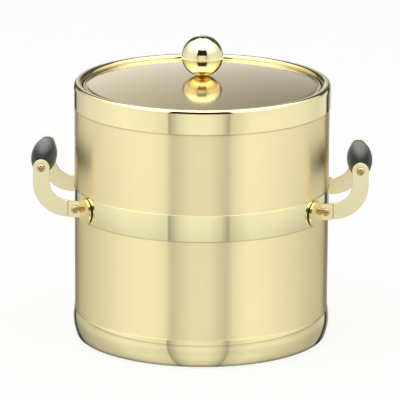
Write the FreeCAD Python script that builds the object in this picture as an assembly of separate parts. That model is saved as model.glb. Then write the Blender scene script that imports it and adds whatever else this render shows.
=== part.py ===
import FreeCAD, Part
import math
import os

# Ice bucket: a double-walled metal bucket with a domed lift-off lid, a ball knob and two side
# handles.  Each handle is a black grip screwed between two flat hooked arms, which swing on the
# ears of a pair of brackets.  All sizes are in millimetres.  The bucket's axis is Z, it stands on
# Z = 0, the handles are at -X (left) and +X (right), and -Y is the front.

# ---- Driving dimensions -------------------------------------------------------------------------

# Clearances shared by the pieces.
FIT_GAP = 0.1                   # between sheets and rings that slide into each other
SEAT_GAP = 0.02                 # between a flat washer's edge and the curved wall it bears on
THREAD_GAP = 0.05               # radial, between a thread and its hole
PIVOT_GAP = 0.05                # radial and end play of the handles' pivots

# Outer wall.
BODY_RADIUS = 100.0
SHELL_THICKNESS = 0.8

# Foot of the bucket.
BASE_PAD_THICKNESS = 1.5
BASE_PLATE_THICKNESS = 1.0
BASE_BAND_HEIGHT = 22.0         # top of the band above the table
BASE_BAND_BULGE = 1.1           # how far its belly stands proud of the wall
BASE_BAND_TOP_PROUD = 0.4
BASE_BAND_TUCK = 1.6            # how far its foot curls in under the wall
BASE_BAND_LAND = 2.0            # ledge inside the band that the wall stands on
BASE_BAND_LAND_Z = 6.0
BASE_LIP_THICKNESS = 1.0
BASE_LIP_WIDTH = 3.0            # part of the lip that carries the base plate

# Middle band.
MIDDLE_BAND_Z = 111.2           # height of its centre line
MIDDLE_BAND_HEIGHT = 20.5
MIDDLE_BAND_THICKNESS = 0.5
MIDDLE_BAND_EDGE = 0.3          # size of its broken edges

# Rim.
RIM_TOP_Z = 204.0
RIM_BAND_HEIGHT = 19.0
RIM_SHEET = 0.9
RIM_WIDTH = 7.1                 # from the outside of the skirt to the mouth
RIM_CORNER = 2.2                # outside radius of the crest's outer corner
RIM_SHOULDER = 6.0              # outside radius below that corner, where the skirt leans in
RIM_LEAN = 30.0                 # degrees that the shoulder leans in before the corner

# Liner.
WALL_SPACE = 9.9                # between the outer wall and the liner
LINER_THICKNESS = 0.8
LINER_CORNER = 12.0             # inside radius between its wall and floor
LEDGE_DEPTH = 12.2              # from the rim's crest down to the ledge under the lid
LINER_COLLAR_HEIGHT = 7.0       # collar that stands up behind the rim's inner skirt
FLOOR_FOAM_THICKNESS = 11.5
FOAM_GAP = 0.5                  # between the wall insulation and what stands out into the space

# Lid.
LID_GAP = 0.4                   # radial, between the lid and the mouth
LID_SHEET = 0.8
LID_EDGE_HEIGHT = 8.6           # edge of the dome above the ledge
DOME_RADIUS = 549.2
LID_BEAD_RADIUS = 1.15
LID_GROOVE_WIDTH = 2.0
LID_GROOVE_DEPTH = 0.4          # below the middle of the bead
LID_GROOVE_STEP = 0.6           # from the bead in to the bottom of the groove
LID_HEM_THICKNESS = 0.6
LID_HEM_WIDTH = 2.4
KNOB_FLAT_RADIUS = 8.0          # flat pressed into the crown for the knob and its washer
PAN_DEPTH = 12.0
PAN_GAP = 0.8                   # radial, between the pan and the liner
PAN_CORNER = 6.0
LID_FOAM_THICKNESS = 14.0

# Knob.
KNOB_RADIUS = 16.25
KNOB_SEAT_RADIUS = 4.2
KNOB_SCREW_DIAMETER = 5.0
KNOB_SCREW_REACH = 11.0         # thread inside the knob
KNOB_SCREW_HEAD_DIAMETER = 9.0
KNOB_SCREW_HEAD_HEIGHT = 2.6
KNOB_WASHER_DIAMETER = 14.0
KNOB_WASHER_THICKNESS = 1.0

# Brackets.
BRACKET_OFFSET = 7.4            # from the ear's inner face to the middle of the foot's back
BRACKET_Z = 110.2
BRACKET_DISC_RADIUS = 10.2
BRACKET_DISC_THICKNESS = 1.9
BRACKET_DISC_EDGE = 0.5
BRACKET_PAD_THICKNESS = 0.5
BRACKET_PAD_INSET = 0.9         # how far the pad stays inside the disc's edge
EAR_HEIGHT = 13.0
EAR_THICKNESS = 1.8
EAR_CORNER = 0.8
STUD_DIAMETER = 4.0
STUD_END = 0.8                  # stud left standing past its nut
STUD_NUT_WIDTH = 7.0
STUD_NUT_HEIGHT = 3.2
STUD_WASHER_DIAMETER = 9.0
STUD_WASHER_THICKNESS = 0.8

# Handles.
ARM_SPACING = 75.2              # clear space between the two arms of one handle
ARM_THICKNESS = 2.0
ARM_WIDTH = 13.0
ARM_BEND_RADIUS = 20.8          # on the centre line
HANDLE_REACH = 26.5             # from the pivot out to the grip
HANDLE_RISE = 32.3              # from the pivot up to the grip
PIVOT_STANDOFF = 4.3            # from the middle band out to the pivots, beside the arms
EAR_REACH = 5.4                 # ear past the pivot
ARM_NOSE_RADIUS = 3.6           # round nose of the arm, which clears the wall as it swings
ARM_TAPER = 4.7                 # from the pivot to where the arm has its full width
PIVOT_DIAMETER = 3.0
PIVOT_HEAD_DIAMETER = 6.2
PIVOT_HEAD_HEIGHT = 2.3
PIVOT_NUT_WIDTH = 5.5
PIVOT_NUT_HEIGHT = 2.4
PIVOT_END = 0.5
PIVOT_WASHER_DIAMETER = 7.0
PIVOT_WASHER_THICKNESS = 0.35

# Grips.
GRIP_RADIUS = 10.0
GRIP_END_RADIUS = 5.75
GRIP_ROD_DIAMETER = 6.0
GRIP_SCREW_DIAMETER = 3.5
GRIP_SCREW_REACH = 11.0
GRIP_HEAD_DIAMETER = 6.4
GRIP_HEAD_HEIGHT = 2.4
TAP_DEPTH_EXTRA = 1.5           # tapped hole past the end of its screw

# Domed screw heads and their cross recesses, as shares of each head's own diameter and height.
HEAD_EDGE_HEIGHT = 0.45         # upright edge under the dome
HEAD_SHOULDER_RADIUS = 0.36     # a point half-way over the dome
HEAD_SHOULDER_HEIGHT = 0.84
RECESS_SPAN = 0.58
RECESS_WIDTH = 0.15
RECESS_DEPTH = 0.5

# ---- Derived sizes ------------------------------------------------------------------------------

SHELL_INNER_RADIUS = BODY_RADIUS - SHELL_THICKNESS
BAND_RADIUS = BODY_RADIUS + MIDDLE_BAND_THICKNESS
BAND_LOW_Z = MIDDLE_BAND_Z - MIDDLE_BAND_HEIGHT / 2
BAND_HIGH_Z = MIDDLE_BAND_Z + MIDDLE_BAND_HEIGHT / 2

PLATE_Z = BASE_PAD_THICKNESS
PLATE_TOP_Z = PLATE_Z + BASE_PLATE_THICKNESS
BAND_FOOT_Z = PLATE_Z - BASE_LIP_THICKNESS
BASE_BORE_RADIUS = BODY_RADIUS - BASE_BAND_LAND
BASE_LIP_RADIUS = BASE_BORE_RADIUS - BASE_LIP_WIDTH

RIM_OUTER_RADIUS = BODY_RADIUS + RIM_SHEET
MOUTH_RADIUS = RIM_OUTER_RADIUS - RIM_WIDTH
ROLL_RADIUS = RIM_WIDTH / 2
ROLL_CENTRE_RADIUS = MOUTH_RADIUS + ROLL_RADIUS
ROLL_CENTRE_Z = RIM_TOP_Z - ROLL_RADIUS
RIM_LEAN_SINE = math.sin(math.radians(RIM_LEAN))
RIM_LEAN_COSINE = math.cos(math.radians(RIM_LEAN))
SHOULDER_Z = RIM_TOP_Z - RIM_CORNER - (RIM_SHOULDER - RIM_CORNER) * RIM_LEAN_SINE
RIM_LOW_Z = RIM_TOP_Z - RIM_BAND_HEIGHT
LEDGE_Z = RIM_TOP_Z - LEDGE_DEPTH

LINER_OUTER_RADIUS = SHELL_INNER_RADIUS - WALL_SPACE
LINER_INNER_RADIUS = LINER_OUTER_RADIUS - LINER_THICKNESS
LINER_LOW_Z = PLATE_TOP_Z + FLOOR_FOAM_THICKNESS
LINER_FLOOR_Z = LINER_LOW_Z + LINER_THICKNESS
COLLAR_RADIUS = SHELL_INNER_RADIUS - FIT_GAP

LID_RADIUS = MOUTH_RADIUS - LID_GAP
CROWN_Z = LEDGE_Z + LID_EDGE_HEIGHT + DOME_RADIUS - math.sqrt(DOME_RADIUS**2 - LID_RADIUS**2)
PAN_OUTER_RADIUS = LINER_INNER_RADIUS - PAN_GAP
PAN_INNER_RADIUS = PAN_OUTER_RADIUS - LID_SHEET
PAN_LOW_Z = LEDGE_Z - PAN_DEPTH
PAN_FLOOR_Z = PAN_LOW_Z + LID_SHEET
PAN_FLANGE_Z = LEDGE_Z + LID_HEM_THICKNESS

DISC_BACK = BAND_RADIUS + BRACKET_PAD_THICKNESS
DISC_FACE = DISC_BACK + BRACKET_DISC_THICKNESS
WASHER_SEAT = math.sqrt(SHELL_INNER_RADIUS**2 - (STUD_WASHER_DIAMETER / 2) ** 2) - SEAT_GAP
NUT_SEAT = WASHER_SEAT - STUD_WASHER_THICKNESS
STUD_TIP = NUT_SEAT - STUD_NUT_HEIGHT - STUD_END
SLEEVE_OUTER_RADIUS = STUD_TIP - FOAM_GAP

ARM_INNER_Y = ARM_SPACING / 2
ARM_OUTER_Y = ARM_INNER_Y + ARM_THICKNESS
EAR_INNER_Y = ARM_OUTER_Y + PIVOT_GAP + PIVOT_WASHER_THICKNESS
EAR_OUTER_Y = EAR_INNER_Y + EAR_THICKNESS
PIVOT_X = math.sqrt(BAND_RADIUS**2 - ARM_INNER_Y**2) + PIVOT_STANDOFF
EAR_END_X = PIVOT_X + EAR_REACH
GRIP_X = PIVOT_X + HANDLE_REACH
GRIP_Z = BRACKET_Z + HANDLE_RISE


# ---- Small tools --------------------------------------------------------------------------------

def save(name, *solids):
    """Write one node: a single solid, or a group of separate like solids."""
    shape = solids[0] if len(solids) == 1 else Part.makeCompound(list(solids))
    shape.exportStep("parts/" + name + ".step")


def at(radius, z):
    """A point of a turned section, at this radius and height."""
    return FreeCAD.Vector(radius, 0, z)


def line(start, end):
    return Part.LineSegment(start, end).toShape()


def arc(start, middle, end):
    return Part.Arc(start, middle, end).toShape()


def round_point(centre, radius, degrees):
    """A point on a circle in the section's plane."""
    turn = math.radians(degrees)
    return centre + FreeCAD.Vector(radius * math.cos(turn), 0, radius * math.sin(turn))


def arc_round(centre, radius, start, finish):
    """An arc of a section round a centre, between two angles."""
    middle = round_point(centre, radius, (start + finish) / 2)
    return arc(round_point(centre, radius, start), middle, round_point(centre, radius, finish))


def turned(edges):
    """Turn a closed section about the Z axis into a solid."""
    face = Part.Face(Part.Wire(edges))
    return Part.Solid(face.revolve(FreeCAD.Vector(0, 0, 0), FreeCAD.Vector(0, 0, 1), 360))


def polygon(*points):
    """The straight edges that close a ring of points."""
    ring = list(points) + [points[0]]
    return [line(ring[i], ring[i + 1]) for i in range(len(points))]


def ring(inner, outer, low, high):
    """A plain tube or, with no inner radius, a disc."""
    body = Part.makeCylinder(outer, high - low, at(0, low))
    if inner > 0:
        body = body.cut(Part.makeCylinder(inner, high - low, at(0, low)))
    return body


def rod(diameter, start, end):
    """A round rod between two points."""
    span = end - start
    return Part.makeCylinder(diameter / 2, span.Length, start, span)


def hexagon(width, low, high):
    """A hexagonal prism on the Z axis, with flats towards -X and +X."""
    corner = width / math.sqrt(3)
    points = []
    for step in range(7):
        turn = math.radians(30 + 60 * step)
        points.append(FreeCAD.Vector(corner * math.cos(turn), corner * math.sin(turn), low))
    return Part.Face(Part.makePolygon(points)).extrude(FreeCAD.Vector(0, 0, high - low))


def sphere_drop(radius, sphere):
    """How far a sphere falls away from its pole at this radius."""
    return sphere - math.sqrt(sphere**2 - radius**2)


def mirrored(shape, axis):
    """The same piece on the other side of the plane X = 0 or Y = 0."""
    return shape.mirror(FreeCAD.Vector(0, 0, 0), axis)


X_AXIS = FreeCAD.Vector(1, 0, 0)
Y_AXIS = FreeCAD.Vector(0, 1, 0)


def four_ways(shape):
    """Right back, right front, left back and left front copies of a right back piece."""
    front = mirrored(shape, Y_AXIS)
    return {
        "right_back": shape,
        "right_front": front,
        "left_back": mirrored(shape, X_AXIS),
        "left_front": mirrored(front, X_AXIS),
    }


def pan_screw(head_diameter, head_height, shank_diameter, shank_length):
    """A domed-head screw with a cross recess.  Its head stands on Z = 0 and its shank hangs down."""
    edge = head_height * HEAD_EDGE_HEIGHT
    head = turned([
        line(at(0, 0), at(head_diameter / 2, 0)),
        line(at(head_diameter / 2, 0), at(head_diameter / 2, edge)),
        arc(
            at(head_diameter / 2, edge),
            at(head_diameter * HEAD_SHOULDER_RADIUS, head_height * HEAD_SHOULDER_HEIGHT),
            at(0, head_height),
        ),
        line(at(0, head_height), at(0, 0)),
    ])
    screw = head.fuse(rod(shank_diameter, at(0, 0), at(0, -shank_length)))
    span = head_diameter * RECESS_SPAN
    width = head_diameter * RECESS_WIDTH
    floor = head_height * (1 - RECESS_DEPTH)
    along = Part.makeBox(span, width, head_height, FreeCAD.Vector(-span / 2, -width / 2, floor))
    across = Part.makeBox(width, span, head_height, FreeCAD.Vector(-width / 2, -span / 2, floor))
    return screw.cut(along.fuse(across)).removeSplitter()


def facing_y(shape, x, y, z):
    """Turn a piece made on the Z axis so that it points along +Y, and set it in place."""
    turn = FreeCAD.Rotation(X_AXIS, -90)
    placed = shape.copy()
    placed.Placement = FreeCAD.Placement(FreeCAD.Vector(x, y, z), turn)
    return placed


# ---- Bracket directions -------------------------------------------------------------------------

# A right back bracket faces outwards along this direction.
BRACKET_ANGLE = math.asin((EAR_INNER_Y + BRACKET_OFFSET) / DISC_BACK)
OUTWARD = FreeCAD.Vector(math.cos(BRACKET_ANGLE), math.sin(BRACKET_ANGLE), 0)


def on_bracket(radius):
    """The point of the right back bracket's centre line at this distance from the bucket's axis."""
    return OUTWARD * radius + FreeCAD.Vector(0, 0, BRACKET_Z)


def along_bracket(shape):
    """Move a piece made on the Z axis, with its foot at Z = 0, on to the bracket's centre line."""
    placed = shape.copy()
    turn = FreeCAD.Rotation(FreeCAD.Vector(0, 0, 1), OUTWARD)
    placed.Placement = FreeCAD.Placement(FreeCAD.Vector(0, 0, BRACKET_Z), turn)
    return placed


def with_stud_holes(shape):
    """Drill a ring of the bucket for the four bracket studs."""
    diameter = STUD_DIAMETER + 2 * THREAD_GAP
    hole = rod(diameter, on_bracket(SHELL_INNER_RADIUS - WALL_SPACE / 2), on_bracket(DISC_BACK))
    for drill in four_ways(hole).values():
        shape = shape.cut(drill)
    return shape


# ---- Bucket -------------------------------------------------------------------------------------

def make_outer_shell():
    """Rolled sheet wall.  It stands on the base band's ledge and ends inside the rolled rim."""
    wall = ring(SHELL_INNER_RADIUS, BODY_RADIUS, BASE_BAND_LAND_Z, SHOULDER_Z)
    return with_stud_holes(wall)


def make_base_band():
    """Polished foot ring with a full belly, a ledge for the wall and a lip for the base plate."""
    foot = at(BODY_RADIUS - BASE_BAND_TUCK, BAND_FOOT_Z)
    belly = at(BODY_RADIUS + BASE_BAND_BULGE, BASE_BAND_HEIGHT / 2)
    top = at(BODY_RADIUS + BASE_BAND_TOP_PROUD, BASE_BAND_HEIGHT)
    inside = [
        top,
        at(BODY_RADIUS, BASE_BAND_HEIGHT),
        at(BODY_RADIUS, BASE_BAND_LAND_Z),
        at(BASE_BORE_RADIUS, BASE_BAND_LAND_Z),
        at(BASE_BORE_RADIUS, PLATE_Z),
        at(BASE_LIP_RADIUS, PLATE_Z),
        at(BASE_LIP_RADIUS, BAND_FOOT_Z),
        foot,
    ]
    edges = [arc(foot, belly, top)]
    edges += [line(inside[i], inside[i + 1]) for i in range(len(inside) - 1)]
    return turned(edges)


def make_middle_band():
    """Polished flat ring round the wall, drilled for the bracket studs."""
    edge = MIDDLE_BAND_EDGE
    band = turned(polygon(
        at(BODY_RADIUS, BAND_LOW_Z),
        at(BAND_RADIUS - edge, BAND_LOW_Z),
        at(BAND_RADIUS, BAND_LOW_Z + edge),
        at(BAND_RADIUS, BAND_HIGH_Z - edge),
        at(BAND_RADIUS - edge, BAND_HIGH_Z),
        at(BODY_RADIUS, BAND_HIGH_Z),
    ))
    return with_stud_holes(band)


def make_rim_band():
    """Polished sheet rolled over the mouth: outer skirt and shoulder, crest and inner skirt."""
    roll = at(ROLL_CENTRE_RADIUS, ROLL_CENTRE_Z)
    shoulder = at(RIM_OUTER_RADIUS - RIM_SHOULDER, SHOULDER_Z)
    between = RIM_SHOULDER - RIM_CORNER
    corner = at(shoulder.x + between * RIM_LEAN_COSINE, shoulder.z + between * RIM_LEAN_SINE)
    outer_low = at(RIM_OUTER_RADIUS, RIM_LOW_Z)
    inner_low = at(BODY_RADIUS, RIM_LOW_Z)
    skirt_low = at(MOUTH_RADIUS, LEDGE_Z)
    skirt_back = at(MOUTH_RADIUS + RIM_SHEET, LEDGE_Z)

    def crest(below):
        """The curves of the section over the crest, on its outside or this far inside it."""
        return [
            arc_round(shoulder, RIM_SHOULDER - below, 0, RIM_LEAN),
            arc_round(corner, RIM_CORNER - below, RIM_LEAN, 90),
            line(
                round_point(corner, RIM_CORNER - below, 90),
                round_point(roll, ROLL_RADIUS - below, 90),
            ),
            arc_round(roll, ROLL_RADIUS - below, 90, 180),
        ]

    return turned([
        line(outer_low, round_point(shoulder, RIM_SHOULDER, 0)),
        *crest(0),
        line(round_point(roll, ROLL_RADIUS, 180), skirt_low),
        line(skirt_low, skirt_back),
        line(skirt_back, round_point(roll, ROLL_RADIUS - RIM_SHEET, 180)),
        *reversed(crest(RIM_SHEET)),
        line(round_point(shoulder, RIM_SHOULDER - RIM_SHEET, 0), inner_low),
        line(inner_low, outer_low),
    ])


def make_inner_liner():
    """Drawn inner bucket: floor, wall, the ledge that carries the lid, and a collar behind it."""
    thick = LINER_THICKNESS
    ledge_low = LEDGE_Z - thick
    collar_top = LEDGE_Z + LINER_COLLAR_HEIGHT
    inner_corner = at(LINER_INNER_RADIUS - LINER_CORNER, LINER_FLOOR_Z + LINER_CORNER)
    outside = LINER_CORNER + thick
    return turned([
        line(at(0, LINER_LOW_Z), round_point(inner_corner, outside, -90)),
        arc_round(inner_corner, outside, -90, 0),
        line(round_point(inner_corner, outside, 0), at(LINER_OUTER_RADIUS, ledge_low)),
        line(at(LINER_OUTER_RADIUS, ledge_low), at(COLLAR_RADIUS, ledge_low)),
        line(at(COLLAR_RADIUS, ledge_low), at(COLLAR_RADIUS, collar_top)),
        line(at(COLLAR_RADIUS, collar_top), at(COLLAR_RADIUS - thick, collar_top)),
        line(at(COLLAR_RADIUS - thick, collar_top), at(COLLAR_RADIUS - thick, LEDGE_Z)),
        line(at(COLLAR_RADIUS - thick, LEDGE_Z), at(LINER_INNER_RADIUS, LEDGE_Z)),
        line(at(LINER_INNER_RADIUS, LEDGE_Z), round_point(inner_corner, LINER_CORNER, 0)),
        arc_round(inner_corner, LINER_CORNER, 0, -90),
        line(round_point(inner_corner, LINER_CORNER, -90), at(0, LINER_FLOOR_Z)),
        line(at(0, LINER_FLOOR_Z), at(0, LINER_LOW_Z)),
    ])


def make_wall_insulation():
    """Foam sleeve round the liner.  It stands on the floor foam, inside the tips of the studs."""
    top = LEDGE_Z - LINER_THICKNESS - FIT_GAP
    return ring(LINER_OUTER_RADIUS + FIT_GAP, SLEEVE_OUTER_RADIUS, LINER_LOW_Z, top)


def make_floor_insulation():
    """Foam disc between the base plate and the liner."""
    return ring(0, SLEEVE_OUTER_RADIUS, PLATE_TOP_Z, LINER_LOW_Z)


def make_base_plate():
    """Flat steel disc held on the base band's lip."""
    return ring(0, BASE_BORE_RADIUS - FIT_GAP, PLATE_Z, PLATE_TOP_Z)


def make_base_pad():
    """Rubber disc glued under the base plate, which the bucket stands on."""
    return ring(0, BASE_LIP_RADIUS - FIT_GAP, 0, PLATE_Z)


# ---- Lid ----------------------------------------------------------------------------------------

def dome_z(radius, below=0):
    """Height of the dome's top face, or of a face that far below it."""
    return CROWN_Z - below - sphere_drop(radius, DOME_RADIUS - below)


def make_lid_cover():
    """Spun dome with a flat for the knob, a groove and bead round its edge, and a hemmed skirt."""
    bead_centre = at(LID_RADIUS - LID_BEAD_RADIUS, dome_z(LID_RADIUS) - LID_SHEET / 2)
    groove_out = round_point(bead_centre, LID_BEAD_RADIUS, 180)
    groove_low = at(groove_out.x - LID_GROOVE_STEP, groove_out.z - LID_GROOVE_DEPTH)
    groove_in = at(groove_out.x - LID_GROOVE_WIDTH, dome_z(groove_out.x - LID_GROOVE_WIDTH))
    middle = (KNOB_FLAT_RADIUS + groove_in.x) / 2
    skirt_in = LID_RADIUS - LID_SHEET
    hem_in = LID_RADIUS - LID_HEM_WIDTH
    under_z = groove_low.z - LID_SHEET
    under_in = at(groove_in.x, under_z)
    under_edge = at(groove_in.x - LID_SHEET, dome_z(groove_in.x - LID_SHEET, LID_SHEET))
    flat_low = dome_z(KNOB_FLAT_RADIUS, LID_SHEET)
    flat_top = dome_z(KNOB_FLAT_RADIUS)
    cover = turned([
        line(at(0, flat_top), at(KNOB_FLAT_RADIUS, flat_top)),
        arc(at(KNOB_FLAT_RADIUS, flat_top), at(middle, dome_z(middle)), groove_in),
        line(groove_in, groove_low),
        line(groove_low, groove_out),
        arc(
            groove_out,
            round_point(bead_centre, LID_BEAD_RADIUS, 90),
            round_point(bead_centre, LID_BEAD_RADIUS, 0),
        ),
        line(at(LID_RADIUS, bead_centre.z), at(LID_RADIUS, LEDGE_Z)),
        line(at(LID_RADIUS, LEDGE_Z), at(hem_in, LEDGE_Z)),
        line(at(hem_in, LEDGE_Z), at(hem_in, PAN_FLANGE_Z)),
        line(at(hem_in, PAN_FLANGE_Z), at(skirt_in, PAN_FLANGE_Z)),
        line(at(skirt_in, PAN_FLANGE_Z), at(skirt_in, under_z)),
        line(at(skirt_in, under_z), under_in),
        line(under_in, under_edge),
        arc(
            under_edge,
            at(middle, dome_z(middle, LID_SHEET)),
            at(KNOB_FLAT_RADIUS, flat_low),
        ),
        line(at(KNOB_FLAT_RADIUS, flat_low), at(0, flat_low)),
        line(at(0, flat_low), at(0, flat_top)),
    ])
    hole = KNOB_SCREW_DIAMETER + 2 * THREAD_GAP
    return cover.cut(rod(hole, at(0, flat_low), at(0, flat_top)))


def make_lid_pan():
    """Shallow pan that closes the lid from below; its flange is held in the cover's hem."""
    corner = at(PAN_INNER_RADIUS - PAN_CORNER, PAN_FLOOR_Z + PAN_CORNER)
    outside = PAN_CORNER + LID_SHEET
    flange_top = PAN_FLANGE_Z + LID_SHEET
    flange_out = LID_RADIUS - LID_SHEET - FIT_GAP
    return turned([
        line(at(0, PAN_LOW_Z), round_point(corner, outside, -90)),
        arc_round(corner, outside, -90, 0),
        line(round_point(corner, outside, 0), at(PAN_OUTER_RADIUS, PAN_FLANGE_Z)),
        line(at(PAN_OUTER_RADIUS, PAN_FLANGE_Z), at(flange_out, PAN_FLANGE_Z)),
        line(at(flange_out, PAN_FLANGE_Z), at(flange_out, flange_top)),
        line(at(flange_out, flange_top), at(PAN_INNER_RADIUS, flange_top)),
        line(at(PAN_INNER_RADIUS, flange_top), round_point(corner, PAN_CORNER, 0)),
        arc_round(corner, PAN_CORNER, 0, -90),
        line(round_point(corner, PAN_CORNER, -90), at(0, PAN_FLOOR_Z)),
        line(at(0, PAN_FLOOR_Z), at(0, PAN_LOW_Z)),
    ])


def make_lid_insulation():
    """Foam disc that lies on the pan's floor, with its lower edge eased round the pan's corner."""
    outer = PAN_INNER_RADIUS - FIT_GAP
    top = PAN_FLOOR_Z + LID_FOAM_THICKNESS
    return turned(polygon(
        at(0, PAN_FLOOR_Z),
        at(outer - PAN_CORNER, PAN_FLOOR_Z),
        at(outer, PAN_FLOOR_Z + PAN_CORNER),
        at(outer, top),
        at(0, top),
    ))


def make_knob():
    """Turned brass ball with a small flat seat and a tapped hole."""
    seat = dome_z(KNOB_FLAT_RADIUS)
    rise = math.sqrt(KNOB_RADIUS**2 - KNOB_SEAT_RADIUS**2)
    centre = at(0, seat + rise)
    ball = turned([
        line(at(0, seat), at(KNOB_SEAT_RADIUS, seat)),
        arc(
            at(KNOB_SEAT_RADIUS, seat),
            round_point(centre, KNOB_RADIUS, 0),
            round_point(centre, KNOB_RADIUS, 90),
        ),
        line(round_point(centre, KNOB_RADIUS, 90), at(0, seat)),
    ])
    depth = KNOB_SCREW_REACH + TAP_DEPTH_EXTRA
    return ball.cut(rod(KNOB_SCREW_DIAMETER + 2 * THREAD_GAP, at(0, seat), at(0, seat + depth)))


def knob_washer_z():
    """Underside of the knob's washer, which the screw's head bears on."""
    return dome_z(KNOB_FLAT_RADIUS, LID_SHEET) - KNOB_WASHER_THICKNESS


def make_knob_washer():
    """Steel washer under the crown of the dome."""
    hole = KNOB_SCREW_DIAMETER / 2 + THREAD_GAP
    low = knob_washer_z()
    return ring(hole, KNOB_WASHER_DIAMETER / 2, low, low + KNOB_WASHER_THICKNESS)


def make_knob_screw():
    """Machine screw up through the washer and the dome into the knob."""
    length = KNOB_WASHER_THICKNESS + LID_SHEET + KNOB_SCREW_REACH
    screw = pan_screw(
        KNOB_SCREW_HEAD_DIAMETER, KNOB_SCREW_HEAD_HEIGHT, KNOB_SCREW_DIAMETER, length
    )
    placed = screw.copy()
    placed.Placement = FreeCAD.Placement(at(0, knob_washer_z()), FreeCAD.Rotation(X_AXIS, 180))
    return placed


# ---- Brackets -----------------------------------------------------------------------------------

def keep_outside_ear(shape, margin=0):
    """Trim a bracket piece flat where the ear is bent up from it."""
    size = 4 * BRACKET_DISC_RADIUS
    edge_y = EAR_INNER_Y + margin
    corner = FreeCAD.Vector(PIVOT_X - size, edge_y - size, BRACKET_Z - size / 2)
    return shape.cut(Part.makeBox(2 * size, size, size, corner))


def make_bracket():
    """Round foot with a stud on its back and an ear bent out from its inner edge."""
    radius = BRACKET_DISC_RADIUS
    edge = BRACKET_DISC_EDGE
    foot = along_bracket(turned(polygon(
        at(0, DISC_BACK),
        at(radius, DISC_BACK),
        at(radius, DISC_FACE - edge),
        at(radius - edge, DISC_FACE),
        at(0, DISC_FACE),
    )))
    root_x = (DISC_BACK - OUTWARD.y * EAR_INNER_Y) / OUTWARD.x
    low = BRACKET_Z - EAR_HEIGHT / 2
    high = BRACKET_Z + EAR_HEIGHT / 2
    corner = EAR_CORNER
    end = EAR_END_X
    lower = at(end - corner, low + corner)
    upper = at(end - corner, high - corner)
    outline = [
        line(at(root_x, low), at(end - corner, low)),
        arc(at(end - corner, low), round_point(lower, corner, -45), at(end, low + corner)),
        line(at(end, low + corner), at(end, high - corner)),
        arc(at(end, high - corner), round_point(upper, corner, 45), at(end - corner, high)),
        line(at(end - corner, high), at(root_x, high)),
        line(at(root_x, high), at(root_x, low)),
    ]
    ear = Part.Face(Part.Wire(outline)).extrude(Y_AXIS * EAR_THICKNESS)
    ear.translate(Y_AXIS * EAR_INNER_Y)
    stud = rod(STUD_DIAMETER, on_bracket(STUD_TIP), on_bracket(DISC_BACK))
    bracket = keep_outside_ear(foot).fuse([ear, stud]).removeSplitter()
    pivot = FreeCAD.Vector(PIVOT_X, EAR_INNER_Y, BRACKET_Z)
    return bracket.cut(rod(PIVOT_DIAMETER + 2 * THREAD_GAP, pivot, pivot + Y_AXIS * EAR_THICKNESS))


def make_bracket_pad():
    """Black rubber pad behind the foot, hollowed to fit the middle band."""
    radius = BRACKET_DISC_RADIUS - BRACKET_PAD_INSET
    blank = rod(2 * radius, on_bracket(SHELL_INNER_RADIUS), on_bracket(DISC_BACK))
    bore = rod(STUD_DIAMETER + 2 * THREAD_GAP, on_bracket(STUD_TIP), on_bracket(DISC_BACK))
    band = Part.makeCylinder(BAND_RADIUS, 4 * radius, at(0, BRACKET_Z - 2 * radius))
    return keep_outside_ear(blank.cut(bore).cut(band), BRACKET_PAD_INSET / 2)


def make_bracket_washer():
    """Steel washer on the stud, inside the outer wall."""
    hole = STUD_DIAMETER / 2 + THREAD_GAP
    return along_bracket(ring(hole, STUD_WASHER_DIAMETER / 2, NUT_SEAT, WASHER_SEAT))


def make_bracket_nut():
    """Hexagon nut on the stud, inside the outer wall."""
    low = NUT_SEAT - STUD_NUT_HEIGHT
    nut = hexagon(STUD_NUT_WIDTH, low, NUT_SEAT)
    nut = nut.cut(rod(STUD_DIAMETER + 2 * THREAD_GAP, at(0, low), at(0, NUT_SEAT)))
    return along_bracket(nut)


# ---- Handles ------------------------------------------------------------------------------------

def make_arm():
    """Flat hooked strap: round nose at the pivot, one wide bend, and a round upper end."""
    half = ARM_WIDTH / 2
    pivot = at(PIVOT_X, BRACKET_Z)
    grip = at(GRIP_X, GRIP_Z)
    bend = at(GRIP_X - ARM_BEND_RADIUS, BRACKET_Z + ARM_BEND_RADIUS)
    inside = ARM_BEND_RADIUS - half
    outside = ARM_BEND_RADIUS + half
    lean = math.degrees(math.atan2(half, ARM_TAPER))
    spread = math.degrees(math.acos(ARM_NOSE_RADIUS / math.hypot(half, ARM_TAPER)))
    nose_high = round_point(pivot, ARM_NOSE_RADIUS, lean + spread)
    nose_tip = round_point(pivot, ARM_NOSE_RADIUS, 180)
    nose_low = round_point(pivot, ARM_NOSE_RADIUS, -lean - spread)
    corner_low = pivot + FreeCAD.Vector(ARM_TAPER, 0, -half)
    corner_high = pivot + FreeCAD.Vector(ARM_TAPER, 0, half)
    outline = [
        arc(nose_high, nose_tip, nose_low),
        line(nose_low, corner_low),
        line(corner_low, round_point(bend, outside, -90)),
        arc_round(bend, outside, -90, 0),
        line(round_point(bend, outside, 0), round_point(grip, half, 0)),
        arc_round(grip, half, 0, 180),
        line(round_point(grip, half, 180), round_point(bend, inside, 0)),
        arc_round(bend, inside, 0, -90),
        line(round_point(bend, inside, -90), corner_high),
        line(corner_high, nose_high),
    ]
    strap = Part.Face(Part.Wire(outline)).extrude(Y_AXIS * ARM_THICKNESS)
    strap = strap.cut(rod(PIVOT_DIAMETER + 2 * PIVOT_GAP, pivot, pivot + Y_AXIS * ARM_THICKNESS))
    strap = strap.cut(rod(GRIP_SCREW_DIAMETER + 2 * THREAD_GAP, grip, grip + Y_AXIS * ARM_THICKNESS))
    strap.translate(Y_AXIS * ARM_INNER_Y)
    return strap


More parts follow.
